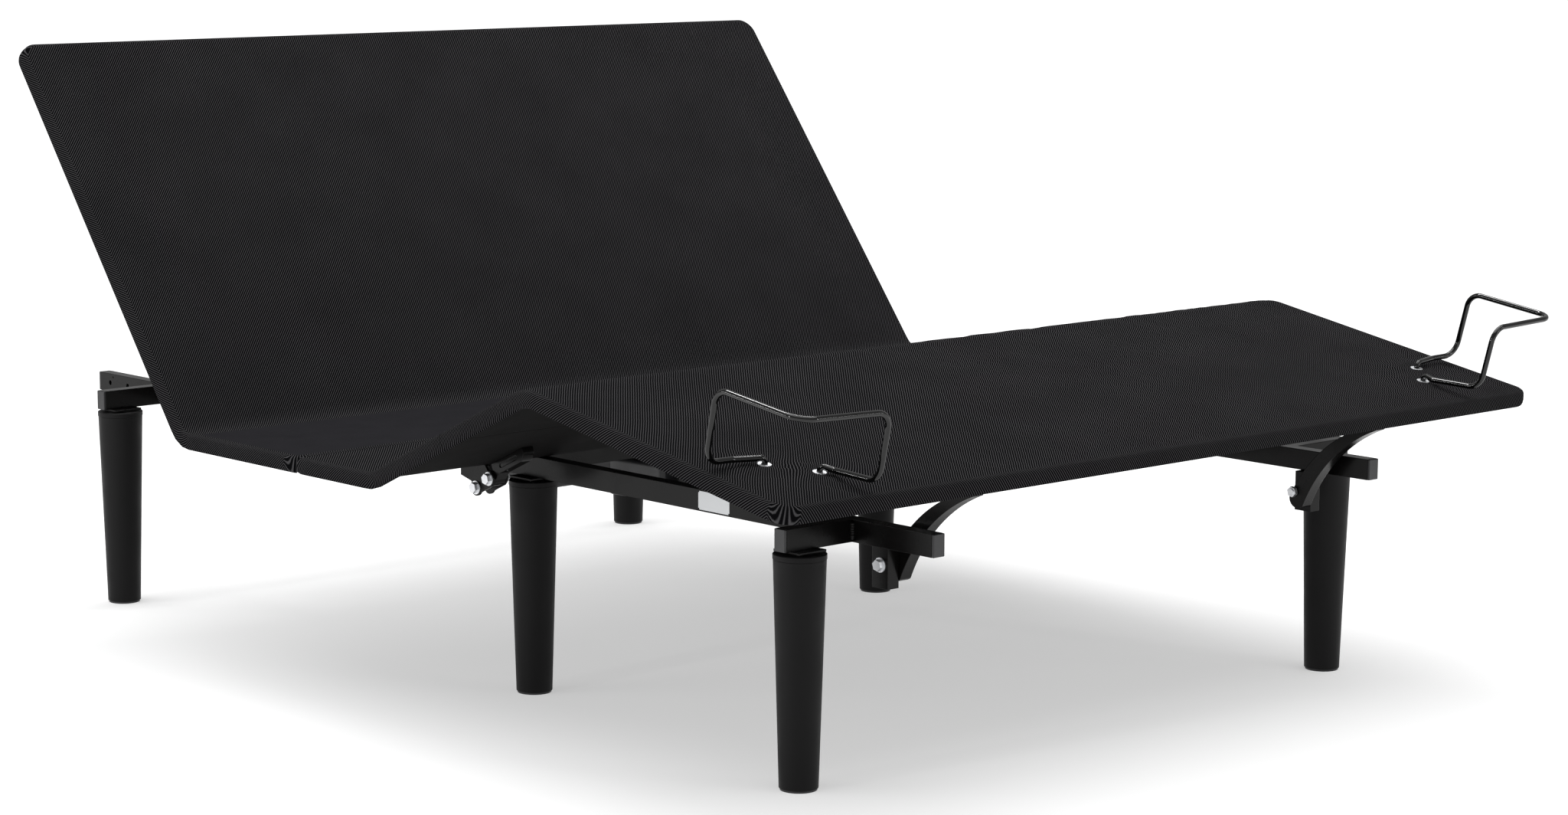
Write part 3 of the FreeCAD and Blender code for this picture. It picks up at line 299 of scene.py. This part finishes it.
def rib_weave_group():
    """Ribs of the knit from the cloth's own flat coordinates: crest height, fine stitches, drift."""
    tree = bpy.data.node_groups.new("rib_weave", "ShaderNodeTree")
    tree.interface.new_socket("Cloth", in_out="INPUT", socket_type="NodeSocketVector")
    for name in ("Crest", "Stitch", "Cloudiness"):
        tree.interface.new_socket(name, in_out="OUTPUT", socket_type="NodeSocketFloat")
    start = node(tree, "NodeGroupInput")
    drift = node(tree, "ShaderNodeTexNoise", {"Vector": start.outputs["Cloth"], "Scale": 1.6, "Detail": 1.0})
    split = node(tree, "ShaderNodeSeparateXYZ", {"Vector": start.outputs["Cloth"]})
    turns = 2 * math.pi / RIB_PITCH
    across = node(tree, "ShaderNodeMath", {0: split.outputs["X"], 1: math.cos(RIB_ANGLE) * turns},
                  operation="MULTIPLY")
    along = node(tree, "ShaderNodeMath", {0: split.outputs["Y"], 1: math.sin(RIB_ANGLE) * turns},
                 operation="MULTIPLY")
    phase = node(tree, "ShaderNodeMath", {0: across.outputs[0], 1: along.outputs[0]}, operation="ADD")
    wander = node(tree, "ShaderNodeMath",
                  {0: drift.outputs["Fac"], 1: RIB_WANDER * turns, 2: phase.outputs[0]},
                  operation="MULTIPLY_ADD")
    wave = node(tree, "ShaderNodeMath", {0: wander.outputs[0]}, operation="SINE")
    crest = node(tree, "ShaderNodeMapRange", {"Value": wave.outputs[0], "From Min": -0.2, "From Max": 1.0},
                 interpolation_type="SMOOTHSTEP")
    run_x = node(tree, "ShaderNodeMath", {0: split.outputs["X"], 1: -math.sin(RIB_ANGLE)},
                 operation="MULTIPLY")
    run_y = node(tree, "ShaderNodeMath", {0: split.outputs["Y"], 1: math.cos(RIB_ANGLE), 2: run_x.outputs[0]},
                 operation="MULTIPLY_ADD")
    stitch_turn = node(tree, "ShaderNodeMath", {0: run_y.outputs[0], 1: 2 * math.pi / STITCH_LENGTH},
                       operation="MULTIPLY")
    stitch = node(tree, "ShaderNodeMath", {0: stitch_turn.outputs[0]}, operation="SINE")
    stitch_share = node(tree, "ShaderNodeMath", {0: stitch.outputs[0], 1: 0.5, 2: 0.5},
                        operation="MULTIPLY_ADD")
    cloud = node(tree, "ShaderNodeTexNoise", {"Vector": start.outputs["Cloth"], "Scale": 9.0, "Detail": 4.0})
    end = node(tree, "NodeGroupOutput")
    tree.links.new(crest.outputs["Result"], end.inputs["Crest"])
    tree.links.new(stitch_share.outputs[0], end.inputs["Stitch"])
    tree.links.new(cloud.outputs["Fac"], end.inputs["Cloudiness"])
    return tree


def new_material(name, colour, roughness, **sockets):
    """A material with its Principled settings made directly on it."""
    material = bpy.data.materials.new(name)
    material.use_nodes = True
    surface = material.node_tree.nodes["Principled BSDF"]
    surface.inputs["Base Color"].default_value = (*colour, 1.0)
    surface.inputs["Roughness"].default_value = roughness
    for key, value in sockets.items():
        surface.inputs[key.replace("_", " ")].default_value = value
    material.diffuse_color = (*colour, 1.0)
    return material, material.node_tree, surface


def mixed_colour(tree, share, low, high):
    """Colour between two values by a share from 0 to 1."""
    made = node(tree, "ShaderNodeMix", {0: share, 6: (*low, 1.0), 7: (*high, 1.0)}, data_type="RGBA")
    return made.outputs[2]


def ribbed_material(name, valley_shade, crest, relief):
    """Black knit whose ribs stand up, with a painted highlight in a lighter colour on their crests and
    painted shade in a darker colour between.
    """
    material, tree, surface = new_material(name, crest, 0.6, Sheen_Weight=0.006, Sheen_Roughness=0.35,
                                           Specular_IOR_Level=0.0)
    where = node(tree, "ShaderNodeUVMap", uv_map="cloth")
    ribs = node(tree, "ShaderNodeGroup", node_tree=rib_weave)
    tree.links.new(where.outputs["UV"], ribs.inputs["Cloth"])
    # The painted highlight on the crests is made uneven at random, from 80 to 100 per cent of its strength.
    uneven_highlight = node(tree, "ShaderNodeMapRange", {"Value": ribs.outputs["Cloudiness"], "From Min": 0.3,
                                             "From Max": 0.7, "To Min": 0.8, "To Max": 1.0})
    share = node(tree, "ShaderNodeMath", {0: ribs.outputs["Crest"], 1: uneven_highlight.outputs["Result"]},
                 operation="MULTIPLY")
    # Base colour: painted highlight on the rib crests, painted shade in the hollows between them.
    tree.links.new(mixed_colour(tree, share.outputs[0], valley_shade, crest), surface.inputs["Base Color"])
    height = node(tree, "ShaderNodeMath", {0: ribs.outputs["Stitch"], 1: 0.12, 2: ribs.outputs["Crest"]},
                  operation="MULTIPLY_ADD")
    bump = node(tree, "ShaderNodeBump", {"Height": height.outputs[0], "Distance": relief, "Strength": 1.0})
    tree.links.new(bump.outputs["Normal"], surface.inputs["Normal"])
    return material


def surface_grain_group():
    """Fine grain and slow handling marks from the object's own coordinates, shared by every finish."""
    tree = bpy.data.node_groups.new("surface_grain", "ShaderNodeTree")
    for name, value in (("Grain", 900.0), ("Marks", 15.0), ("Roughness", 0.5), ("Spread", 0.06)):
        tree.interface.new_socket(name, in_out="INPUT", socket_type="NodeSocketFloat").default_value = value
    for name in ("Fine", "Cloudy", "Roughness"):
        tree.interface.new_socket(name, in_out="OUTPUT", socket_type="NodeSocketFloat")
    start = node(tree, "NodeGroupInput")
    where = node(tree, "ShaderNodeTexCoord")
    place = where.outputs["Object"]
    fine = node(tree, "ShaderNodeTexNoise", {"Vector": place, "Scale": start.outputs["Grain"], "Detail": 3.0})
    broad = node(tree, "ShaderNodeTexNoise", {"Vector": place, "Scale": start.outputs["Marks"],
                                              "Detail": 3.0})
    swing = node(tree, "ShaderNodeMapRange", {"Value": broad.outputs["Fac"], "From Min": 0.3, "From Max": 0.7,
                                              "To Min": -1.0, "To Max": 1.0})
    gloss = node(tree, "ShaderNodeMath", {0: swing.outputs["Result"], 1: start.outputs["Spread"],
                                          2: start.outputs["Roughness"]}, operation="MULTIPLY_ADD")
    end = node(tree, "NodeGroupOutput")
    tree.links.new(fine.outputs["Fac"], end.inputs["Fine"])
    tree.links.new(broad.outputs["Fac"], end.inputs["Cloudy"])
    tree.links.new(gloss.outputs[0], end.inputs["Roughness"])
    return tree


def speckled_material(name, dark, light, roughness, grain, relief, **sockets):
    """Fine even grain and slight drift in tone: cloth backing, board face or moulded plastic."""
    material, tree, surface = new_material(name, light, roughness, **sockets)
    skin = node(tree, "ShaderNodeGroup", node_tree=surface_grain)
    skin.inputs["Grain"].default_value = grain
    skin.inputs["Marks"].default_value = grain / 60
    skin.inputs["Roughness"].default_value = roughness
    tree.links.new(mixed_colour(tree, skin.outputs["Cloudy"], dark, light), surface.inputs["Base Color"])
    tree.links.new(skin.outputs["Roughness"], surface.inputs["Roughness"])
    bump = node(tree, "ShaderNodeBump", {"Height": skin.outputs["Fine"], "Distance": relief, "Strength": 1.0})
    tree.links.new(bump.outputs["Normal"], surface.inputs["Normal"])
    return material


rib_weave = rib_weave_group()
surface_grain = surface_grain_group()
# The first colour is painted shade between the ribs; the second is a painted highlight and sheen on the
# crests.
deck_ribs = ribbed_material("deck_ribs", (0.0030, 0.0030, 0.0034), (0.060, 0.0585, 0.061), 0.0010)
deck_backing = speckled_material("deck_backing", (0.004, 0.0038, 0.0038), (0.007, 0.0066, 0.0066), 0.85, 900,
                                 0.0002, Specular_IOR_Level=0.05)
deck_smooth = speckled_material("deck_smooth", (0.0100, 0.0097, 0.0112), (0.0140, 0.0136, 0.0156), 0.7, 1400,
                                0.0001, Specular_IOR_Level=0.02)


def upholster(panel, body, far_body, fold_start, fold_end, *nodes):
    """Gives a panel its cloths, settles it, bakes its placement into the mesh and hides the CAD parts it
    stands in for.
    """
    for cloth in (deck_ribs, deck_backing, deck_smooth):
        panel.data.materials.append(cloth)
    settle_cloth(panel)
    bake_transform(panel)
    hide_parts(*nodes)


SEAM_Y = 0.02920
SEAM_HALF_GAP = 0.0002
HEAD_FOLD_Y = 0.31673
HEAD_ANGLE = 52.32
HEAD_PLANE = 0.69433
HEAD_FOLD_RADIUS = 0.026
HEAD_FOLD_REACH = 0.020
fold_turn = math.radians(HEAD_ANGLE)
fold_room = HEAD_FOLD_RADIUS * math.tan(fold_turn / 2)
seat_run = HEAD_FOLD_Y - SEAM_Y - SEAM_HALF_GAP - fold_room
head_turns = [(0.0, 0.0), (seat_run, 0.0), (seat_run + HEAD_FOLD_RADIUS * fold_turn, HEAD_ANGLE)]
head_turns.append((head_turns[-1][0] + HEAD_PLANE - fold_room, HEAD_ANGLE))
head_profile = side_profile((SEAM_Y + SEAM_HALF_GAP, DECK_TOP), 1, head_turns)
head_half = padded_panel("deck_head_half", head_profile, ("seam", "rim"), 0.0)
fold_back = Vector((0.0, HEAD_FOLD_Y - HEAD_FOLD_REACH, DECK_TOP))
fold_up = Vector((0.0, HEAD_FOLD_Y, DECK_TOP))
fold_up += Vector((0.0, math.cos(fold_turn), math.sin(fold_turn))) * HEAD_FOLD_REACH
upholster(head_half, "frame", "head_deck", fold_back, fold_up, "head_cover", "seat_cover_head")


# ---- Foot half of the padded deck ---------------------------------------------------------
# The same cover carries on from the seam over the seat, up the thigh rest, round the padded
# knee ridge and down the foot rest. It is made here in two stretches that meet in mid thigh.
CREASE_Y = -0.1419
THIGH_ANGLE = 24.75
FOOT_SLOPE = 10.44
THIGH_PLANE = 0.3699
FOOT_PLANE = 0.5105
CREASE_RADIUS = 0.030
KNEE_RADIUS = 0.084
CREASE_REACH = 0.022
KNEE_REACH = 0.030
crease_turn = math.radians(THIGH_ANGLE)
knee_turn = math.radians(THIGH_ANGLE + FOOT_SLOPE)
crease_room = CREASE_RADIUS * math.tan(crease_turn / 2)
knee_room = KNEE_RADIUS * math.tan(knee_turn / 2)
half_thigh = (THIGH_PLANE - crease_room - knee_room) / 2
seat_foot_run = SEAM_Y - SEAM_HALF_GAP - CREASE_Y - crease_room
thigh_turns = [(0.0, 0.0), (seat_foot_run, 0.0), (seat_foot_run + CREASE_RADIUS * crease_turn, THIGH_ANGLE)]
thigh_turns.append((thigh_turns[-1][0] + half_thigh, THIGH_ANGLE))
thigh_profile = side_profile((SEAM_Y - SEAM_HALF_GAP, DECK_TOP), -1, thigh_turns)
thigh_half = padded_panel("deck_foot_half_seat", thigh_profile, ("seam", "cut"), 0.0)
crease_back = Vector((0.0, CREASE_Y + CREASE_REACH, DECK_TOP))
crease_up = Vector((0.0, CREASE_Y, DECK_TOP))
crease_up += Vector((0.0, -math.cos(crease_turn), math.sin(crease_turn))) * CREASE_REACH
upholster(thigh_half, "frame", "thigh_deck", crease_back, crease_up, "seat_cover_foot", "thigh_cover")

knee_turns = [(0.0, THIGH_ANGLE), (half_thigh, THIGH_ANGLE)]
knee_turns.append((half_thigh + KNEE_RADIUS * knee_turn, -FOOT_SLOPE))
knee_turns.append((knee_turns[-1][0] + FOOT_PLANE - knee_room, -FOOT_SLOPE))
knee_start = (thigh_profile["y"][-1], thigh_profile["z"][-1])
knee_profile = side_profile(knee_start, -1, knee_turns, KNEE_RADIUS)


def separate_solids(name):
    """Lowest and highest corner of each separate solid in a CAD part."""
    shape = bmesh.new()
    shape.from_mesh(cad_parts[name].data)
    bmesh.ops.remove_doubles(shape, verts=shape.verts, dist=1e-5)
    found = []
    waiting = set(shape.verts)
    while waiting:
        group = {waiting.pop()}
        edge_of_group = set(group)
        while edge_of_group:
            edge_of_group = {edge.other_vert(v) for v in edge_of_group for edge in v.link_edges} - group
            group |= edge_of_group
        waiting -= group
        corners = np.array([v.co for v in group])
        found.append((Vector(corners.min(0)), Vector(corners.max(0))))
    shape.free()
    return found


washer_places = []
for low, high in separate_solids("retainer_washers"):
    washer = (low + high) / 2
    reach = np.hypot(knee_profile["y"] - washer.y, knee_profile["z"] - washer.z)
    washer_places.append((washer.x, knee_profile["s"][reach.argmin()]))
knee_half = padded_panel("deck_foot_half_knee", knee_profile, ("cut", "rim"), thigh_profile["length"])
ridge_s = half_thigh + KNEE_RADIUS * knee_turn / 2
knee_at = [np.interp(ridge_s, knee_profile["s"], knee_profile[axis]) for axis in "yz"]
knee_lean = math.radians((THIGH_ANGLE - FOOT_SLOPE) / 2)
knee_reach = Vector((0.0, -math.cos(knee_lean), math.sin(knee_lean))) * KNEE_REACH
knee_middle = Vector((0.0, *knee_at))
knee_back, knee_front = knee_middle - knee_reach, knee_middle + knee_reach
upholster(knee_half, "thigh_deck", "foot_deck", knee_back, knee_front, "foot_cover")


# ---- Staples under the deck ---------------------------------------------------------------
# Blackened wire staples, 10 mm wide and about 30 mm apart, hold the cover's hem to the plywood
# down both sides of each panel and across its free end.
STAPLE_SPACING = 0.030
STAPLE_SIZE = (0.0012, 0.010, 0.0012)
STAPLE_INSET = 0.020
RAIL_ROOM = (0.42, 0.47)     # no staples where the side rails lie under the flat deck
HEAD_HINGE_ROOM = 0.06       # nor close to a fold, where the cover has to move
THIGH_HINGE_ROOM = 0.03
KNEE_ROOM = 0.10
STAPLE_DROP = 0.0003
staple_wire, _, _ = new_material("staple_wire", (0.035, 0.035, 0.037), 0.4, Metallic=0.8)


def line_object(name, strips):
    """Plain line work for the repeating pieces: each strip is a list of points joined in turn."""
    mesh = bpy.data.meshes.new(name)
    points = [point for strip in strips for point in strip]
    edges = []
    first = 0
    for strip in strips:
        edges += [(first + i, first + i + 1) for i in range(len(strip) - 1)]
        first += len(strip)
    mesh.from_pydata(points, edges, [])
    made = bpy.data.objects.new(name, mesh)
    bpy.context.scene.collection.objects.link(made)
    return made


def repeated(lines, tree, settings):
    """Runs a repeating tree on line work and keeps the result as one plain mesh."""
    growth = lines.modifiers.new("Repeat", "NODES")
    growth.node_group = tree
    for socket in tree.interface.items_tree:
        if socket.in_out == "INPUT" and socket.name in settings:
            growth[socket.identifier] = settings[socket.name]
    graph = bpy.context.evaluated_depsgraph_get()
    made = bpy.data.meshes.new_from_object(lines.evaluated_get(graph))
    lines.modifiers.remove(growth)
    lines.data = made
    return lines


def repeating_tree(name, material, piece):
    """Sets small blocks or beads along lines: spacing, size and a fixed seed are its inputs."""
    tree = bpy.data.node_groups.new(name, "GeometryNodeTree")
    tree.interface.new_socket("Geometry", in_out="INPUT", socket_type="NodeSocketGeometry")
    for label, kind, value in (("Spacing", "Float", 0.03), ("Size", "Vector", (0.01, 0.001, 0.001)),
                               ("Uneven", "Float", 0.0), ("Seed", "Int", 7)):
        socket = tree.interface.new_socket(label, in_out="INPUT", socket_type="NodeSocket" + kind)
        socket.default_value = value
    tree.interface.new_socket("Geometry", in_out="OUTPUT", socket_type="NodeSocketGeometry")
    start = node(tree, "NodeGroupInput")
    curve = node(tree, "GeometryNodeMeshToCurve", {"Mesh": start.outputs["Geometry"]})
    places = node(tree, "GeometryNodeCurveToPoints", {"Curve": curve.outputs["Curve"],
                                                      "Length": start.outputs["Spacing"]}, mode="LENGTH")
    if piece == "bead":
        ball = node(tree, "GeometryNodeMeshUVSphere", {"Radius": 0.5, "Segments": 8, "Rings": 6})
        shape = node(tree, "GeometryNodeSetShadeSmooth", {"Geometry": ball.outputs["Mesh"]})
    else:
        shape = node(tree, "GeometryNodeMeshCube", {"Size": (1.0, 1.0, 1.0)})
    unevenness = node(tree, "FunctionNodeRandomValue", {"Seed": start.outputs["Seed"]}, data_type="FLOAT")
    share = node(tree, "ShaderNodeMath", {0: unevenness.outputs[1], 1: start.outputs["Uneven"], 2: 1.0},
                 operation="MULTIPLY_ADD")
    sized = node(tree, "ShaderNodeVectorMath", {0: start.outputs["Size"]}, operation="SCALE")
    tree.links.new(share.outputs[0], sized.inputs["Scale"])
    placed = node(tree, "GeometryNodeInstanceOnPoints", {
        "Points": places.outputs["Points"], "Instance": shape.outputs[0],
        "Rotation": places.outputs["Rotation"], "Scale": sized.outputs["Vector"]})
    real = node(tree, "GeometryNodeRealizeInstances", {"Geometry": placed.outputs["Instances"]})
    coloured = node(tree, "GeometryNodeSetMaterial",
                    {"Geometry": real.outputs["Geometry"], "Material": material})
    end = node(tree, "NodeGroupOutput")
    tree.links.new(coloured.outputs["Geometry"], end.inputs["Geometry"])
    return tree


def under_line(profile, s, x, depth):
    """A point below the deck at a distance along the cover."""
    slope = np.interp(s, profile["s"], profile["slope"])
    y = np.interp(s, profile["s"], profile["y"]) + profile["way"] * math.sin(slope) * depth
    return (x, y, np.interp(s, profile["s"], profile["z"]) - math.cos(slope) * depth)


staple_tree = repeating_tree("staple_rows", staple_wire, "block")
staple_depth = SHELL_DEPTH + STAPLE_DROP
edge_in = HALF_WIDTH - STAPLE_INSET
staple_rows = {
    "head_deck": (head_profile, seat_run + HEAD_HINGE_ROOM, head_profile["length"] - STAPLE_INSET, True),
    "thigh_deck": (thigh_profile, seat_foot_run + THIGH_HINGE_ROOM, thigh_profile["length"], False),
    "foot_deck": (knee_profile, half_thigh + KNEE_ROOM, knee_profile["length"] - STAPLE_INSET, True),
}
for body, (profile, first, last, closed) in staple_rows.items():
    strips = []
    for side in (-1, 1):
        strips.append([under_line(profile, s, side * edge_in, staple_depth) for s in (first, last)])
    if closed:
        for side in (-1, 1):
            for x0, x1 in ((0.0, RAIL_ROOM[0]), (RAIL_ROOM[1], edge_in - STAPLE_INSET)):
                strips.append([under_line(profile, last, side * x, staple_depth) for x in (x0, x1)])
    rows = repeated(line_object("staples_" + body, strips), staple_tree,
                    {"Spacing": STAPLE_SPACING, "Size": STAPLE_SIZE, "Seed": 11})
    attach(rows, body)


# ---- Steel frame --------------------------------------------------------------------------
# Rectangular steel tube, cut, welded and powder coated satin black, with folded plate brackets.
# The coat has a faint orange-peel skin and the cut edges are slightly rounded by the paint.
def painted_steel(name, colour, roughness, shine, rounding, peel):
    """Powder coat with soft edges and a faint orange-peel skin."""
    material, tree, surface = new_material(name, colour, roughness, Specular_IOR_Level=shine)
    skin = node(tree, "ShaderNodeGroup", node_tree=surface_grain)
    skin.inputs["Grain"].default_value = 420.0
    skin.inputs["Roughness"].default_value = roughness
    tree.links.new(skin.outputs["Roughness"], surface.inputs["Roughness"])
    soft_edge = node(tree, "ShaderNodeBevel", {"Radius": rounding}, samples=6)
    bump = node(tree, "ShaderNodeBump", {"Height": skin.outputs["Fine"], "Distance": peel, "Strength": 1.0,
                                         "Normal": soft_edge.outputs["Normal"]})
    tree.links.new(bump.outputs["Normal"], surface.inputs["Normal"])
    return material


def dress(material, slot, *names):
    """Gives CAD parts their finish."""
    for name in names:
        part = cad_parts[name]
        part.data.materials.clear()
        part.data.materials.append(material)


frame_black = painted_steel("frame_black", (0.003, 0.0028, 0.0027), 0.26, 0.14, 0.0014, 0.00005)
dress(frame_black, "black_steel", "rail_foot_left", "rail_foot_right", "rail_head_left", "rail_head_right",
      "rail_splice_plates", "crossbar_foot", "crossbar_head", "motor_crossbars", "seam_crossbars",
      "outriggers", "leg_mount_plates", "head_hinge_brackets", "thigh_hinge_brackets", "swing_bracket_left",
      "swing_bracket_right", "head_motor_clevis", "leg_motor_clevis", "head_battens", "head_hinge_straps",
      "head_lever", "thigh_hinge_straps", "thigh_lever", "knee_leaves_thigh", "knee_leaves_foot",
      "foot_deck_lugs", "swing_arm_left", "swing_arm_right")


# ---- Welds --------------------------------------------------------------------------------
# Short fillet welds join the outriggers and cross tubes to the side rails.
# Each is a row of overlapping ripples, uneven as hand welding leaves them, under the black coat.
weld_tree = repeating_tree("weld_ripples", frame_black, "bead")
WELD_SETBACK = 0.0055
RIPPLE_SPACING = 0.0028
RIPPLE_SIZE = (0.0090, 0.0090, 0.0052)
rail_low, rail_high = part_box("rail_foot_right")
weld_strips = []
for low, high in separate_solids("outriggers"):
    x = math.copysign(rail_high.x, low.x)
    for y in (low.y, high.y):
        weld_strips.append([(x, y, low.z + WELD_SETBACK), (x, y, high.z - WELD_SETBACK)])
for name in ("crossbar_foot", "crossbar_head", "motor_crossbars", "seam_crossbars"):
    for low, high in separate_solids(name):
        for x in (-rail_low.x, rail_low.x):
            for y in (low.y, high.y):
                weld_strips.append([(x, y, low.z + WELD_SETBACK), (x, y, high.z - WELD_SETBACK)])
welds = repeated(line_object("weld_beads", weld_strips), weld_tree,
                 {"Spacing": RIPPLE_SPACING, "Size": RIPPLE_SIZE, "Uneven": 0.4, "Seed": 4})
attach(welds, "frame")


# ---- Rail label ---------------------------------------------------------------------------
# A plain silver polyester label with rounded corners, left blank, stuck to the near side rail.
LABEL_LENGTH = 0.063
LABEL_HEIGHT = 0.0255
LABEL_FROM_END = 0.4144
LABEL_THICKNESS = 0.0003
LABEL_CORNER = 0.002
LABEL_STANDOFF = 0.00001
label_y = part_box("rail_foot_left")[0].y + LABEL_FROM_END
label_z = (rail_low.z + rail_high.z) / 2
label_shape = bmesh.new()
bmesh.ops.create_cube(label_shape, size=1.0)
bmesh.ops.scale(label_shape, verts=label_shape.verts, vec=(LABEL_THICKNESS, LABEL_LENGTH, LABEL_HEIGHT))
upright = [edge for edge in label_shape.edges if abs(edge.verts[0].co.x - edge.verts[1].co.x) > 1e-5]
bmesh.ops.bevel(label_shape, geom=upright, offset=LABEL_CORNER, segments=4, affect="EDGES")
label_x = -rail_high.x - LABEL_THICKNESS / 2 - LABEL_STANDOFF
bmesh.ops.translate(label_shape, verts=label_shape.verts, vec=(label_x, label_y, label_z))
label_mesh = bpy.data.meshes.new("rail_label")
label_shape.to_mesh(label_mesh)
label_shape.free()
label = bpy.data.objects.new("rail_label", label_mesh)
bpy.context.scene.collection.objects.link(label)
label_silver = speckled_material("label_silver", (0.50, 0.51, 0.52), (0.60, 0.61, 0.62), 0.35, 900, 0.00002,
                                 Metallic=0.6)
label_mesh.materials.append(label_silver)
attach(label, "frame")


# ---- Legs ---------------------------------------------------------------------------------
# Hollow tapered legs moulded in charcoal plastic with a fine matt grain, a thin collar at the
# top and a black glide underneath. Each turns onto a threaded steel stud in the frame.
# The end caps, boxes and motor cases are moulded in a plainer black.
leg_grain = speckled_material("leg_grain", (0.0048, 0.0046, 0.0048), (0.0070, 0.0068, 0.0070), 0.5, 1600,
                              0.00009, Specular_IOR_Level=0.13)
dress(leg_grain, "leg_shell", "leg_foot_left", "leg_foot_right", "leg_middle_left", "leg_middle_right",
      "leg_head_left", "leg_head_right")
moulded_black = speckled_material("moulded_black", (0.010, 0.010, 0.011), (0.015, 0.015, 0.017), 0.42, 1500,
                                  0.00006)
dress(moulded_black, "black_plastic", "leg_glides", "tube_end_caps", "control_box", "power_supply",
      "head_motor", "leg_motor")


# ---- Fasteners and bright parts -----------------------------------------------------------
# Zinc plated bolts, nuts and washers, ground push rods and dark anodised actuator tubes.
# Their shine is faintly uneven, as handling and plating leave it.
def metal(name, colour, roughness, grain):
    """Bare or plated metal with soft edges and an uneven shine."""
    material, tree, surface = new_material(name, colour, roughness, Metallic=1.0)
    skin = node(tree, "ShaderNodeGroup", node_tree=surface_grain)
    skin.inputs["Marks"].default_value = grain
    skin.inputs["Roughness"].default_value = roughness
    skin.inputs["Spread"].default_value = 0.09
    tree.links.new(skin.outputs["Roughness"], surface.inputs["Roughness"])
    soft_edge = node(tree, "ShaderNodeBevel", {"Radius": 0.0006}, samples=4)
    tree.links.new(soft_edge.outputs["Normal"], surface.inputs["Normal"])
    return material


zinc = metal("zinc", (0.80, 0.81, 0.83), 0.42, 500)
dress(zinc, "zinc_fastener", "hinge_bolts", "swing_pivot_bolts", "retainer_washers", "leg_studs", "knee_pins")
ground_steel = metal("ground_steel", (0.55, 0.56, 0.58), 0.18, 900)
dress(ground_steel, "bright_steel", "head_push_rod", "leg_push_rod")
anodised = metal("anodised", (0.20, 0.20, 0.21), 0.35, 700)
dress(anodised, "tube_grey", "head_outer_tube", "leg_outer_tube")


# ---- Mattress retainer bars ---------------------------------------------------------------
# Solid steel rod bent cold into a loop and a foot, and dipped in gloss black paint.
# Each bar stands in two holes at the foot end, under plated washers.
rod_gloss = painted_steel("rod_gloss", (0.001, 0.001, 0.001), 0.05, 0.45, 0.0004, 0.00001)
dress(rod_gloss, "gloss_rod", "retainer_bar_left", "retainer_bar_right")


# ---- Boards -------------------------------------------------------------------------------
# Plywood boards inside the covers, cut square and faced dark brown.
board_face = speckled_material("board_face", (0.020, 0.017, 0.015), (0.030, 0.026, 0.022), 0.6, 300, 0.0001)
dress(board_face, "faced_board", "head_board", "seat_board_head", "seat_board_foot", "thigh_board",
      "foot_board")


# ---- Floor, light and camera --------------------------------------------------------------
# Plain pale studio floor under one wide soft light, with narrow strips beside it that draw lines
# along tubes and rods, and a low view from the foot end's left corner.
FLOOR_REACH = 60.0
floor_corners = [(x * FLOOR_REACH, y * FLOOR_REACH, 0.0) for x, y in ((-1, -1), (1, -1), (1, 1), (-1, 1))]
floor_mesh = bpy.data.meshes.new("floor")
floor_mesh.from_pydata(floor_corners, [], [(0, 1, 2, 3)])
floor = bpy.data.objects.new("floor", floor_mesh)
bpy.context.scene.collection.objects.link(floor)
floor_paint, _, _ = new_material("floor_paint", (0.58, 0.58, 0.58), 0.7, Specular_IOR_Level=0.0,
                                 Emission_Color=(1.0, 1.0, 1.0, 1.0), Emission_Strength=0.45)
floor_mesh.materials.append(floor_paint)

world = bpy.data.worlds.new("studio")
world.use_nodes = True
world.node_tree.nodes["Background"].inputs["Color"].default_value = (1.0, 1.0, 1.0, 1.0)
world.node_tree.nodes["Background"].inputs["Strength"].default_value = 0.40
bpy.context.scene.world = world
bpy.context.scene.view_settings.view_transform = "Standard"

ceiling_light = bpy.data.lights.new("ceiling", "SUN")
ceiling_light.energy = 2.4
ceiling_light.angle = math.radians(75)
ceiling = bpy.data.objects.new("ceiling", ceiling_light)
bpy.context.scene.collection.objects.link(ceiling)


def strip_light(name, place, target, size, power):
    """A long soft box that draws clean lines along tubes and rods."""
    lamp = bpy.data.lights.new(name, "AREA")
    lamp.shape = "RECTANGLE"
    lamp.size, lamp.size_y = size
    lamp.energy = power
    made = bpy.data.objects.new(name, lamp)
    made.location = place
    made.rotation_euler = (Vector(target) - Vector(place)).to_track_quat("-Z", "Y").to_euler()
    bpy.context.scene.collection.objects.link(made)


strip_light("overhead_strip", (0.4, 0.9, 3.4), (0.0, -0.3, 0.3), (3.4, 0.16), 60)
strip_light("left_strip", (-4.6, 2.2, 1.3), (0.0, 0.0, 0.3), (2.6, 0.15), 45)
strip_light("foot_strip", (2.6, -4.4, 1.5), (0.0, 0.0, 0.3), (2.6, 0.15), 18)
strip_light("tall_left_strip", (-5.0, -0.4, 1.3), (-0.6, -0.9, 0.5), (0.12, 2.2), 26)
strip_light("tall_right_strip", (1.6, -5.0, 1.3), (0.0, -0.9, 0.5), (0.12, 2.2), 16)

camera_data = bpy.data.cameras.new("camera")
camera_data.lens = 82.53
camera_data.sensor_width = 36.0
camera_data.clip_end = 200.0
camera = bpy.data.objects.new("camera", camera_data)
camera_turn = Matrix(((0.73491637, 0.09804926, -0.67103224), (-0.67814115, 0.11317539, -0.72616521),
                      (0.00474438, 0.98872528, 0.14966568))).to_4x4()
camera.matrix_world = Matrix.Translation((-3.6194, -4.0836, 1.1838)) @ camera_turn
bpy.context.scene.collection.objects.link(camera)
bpy.context.scene.camera = camera
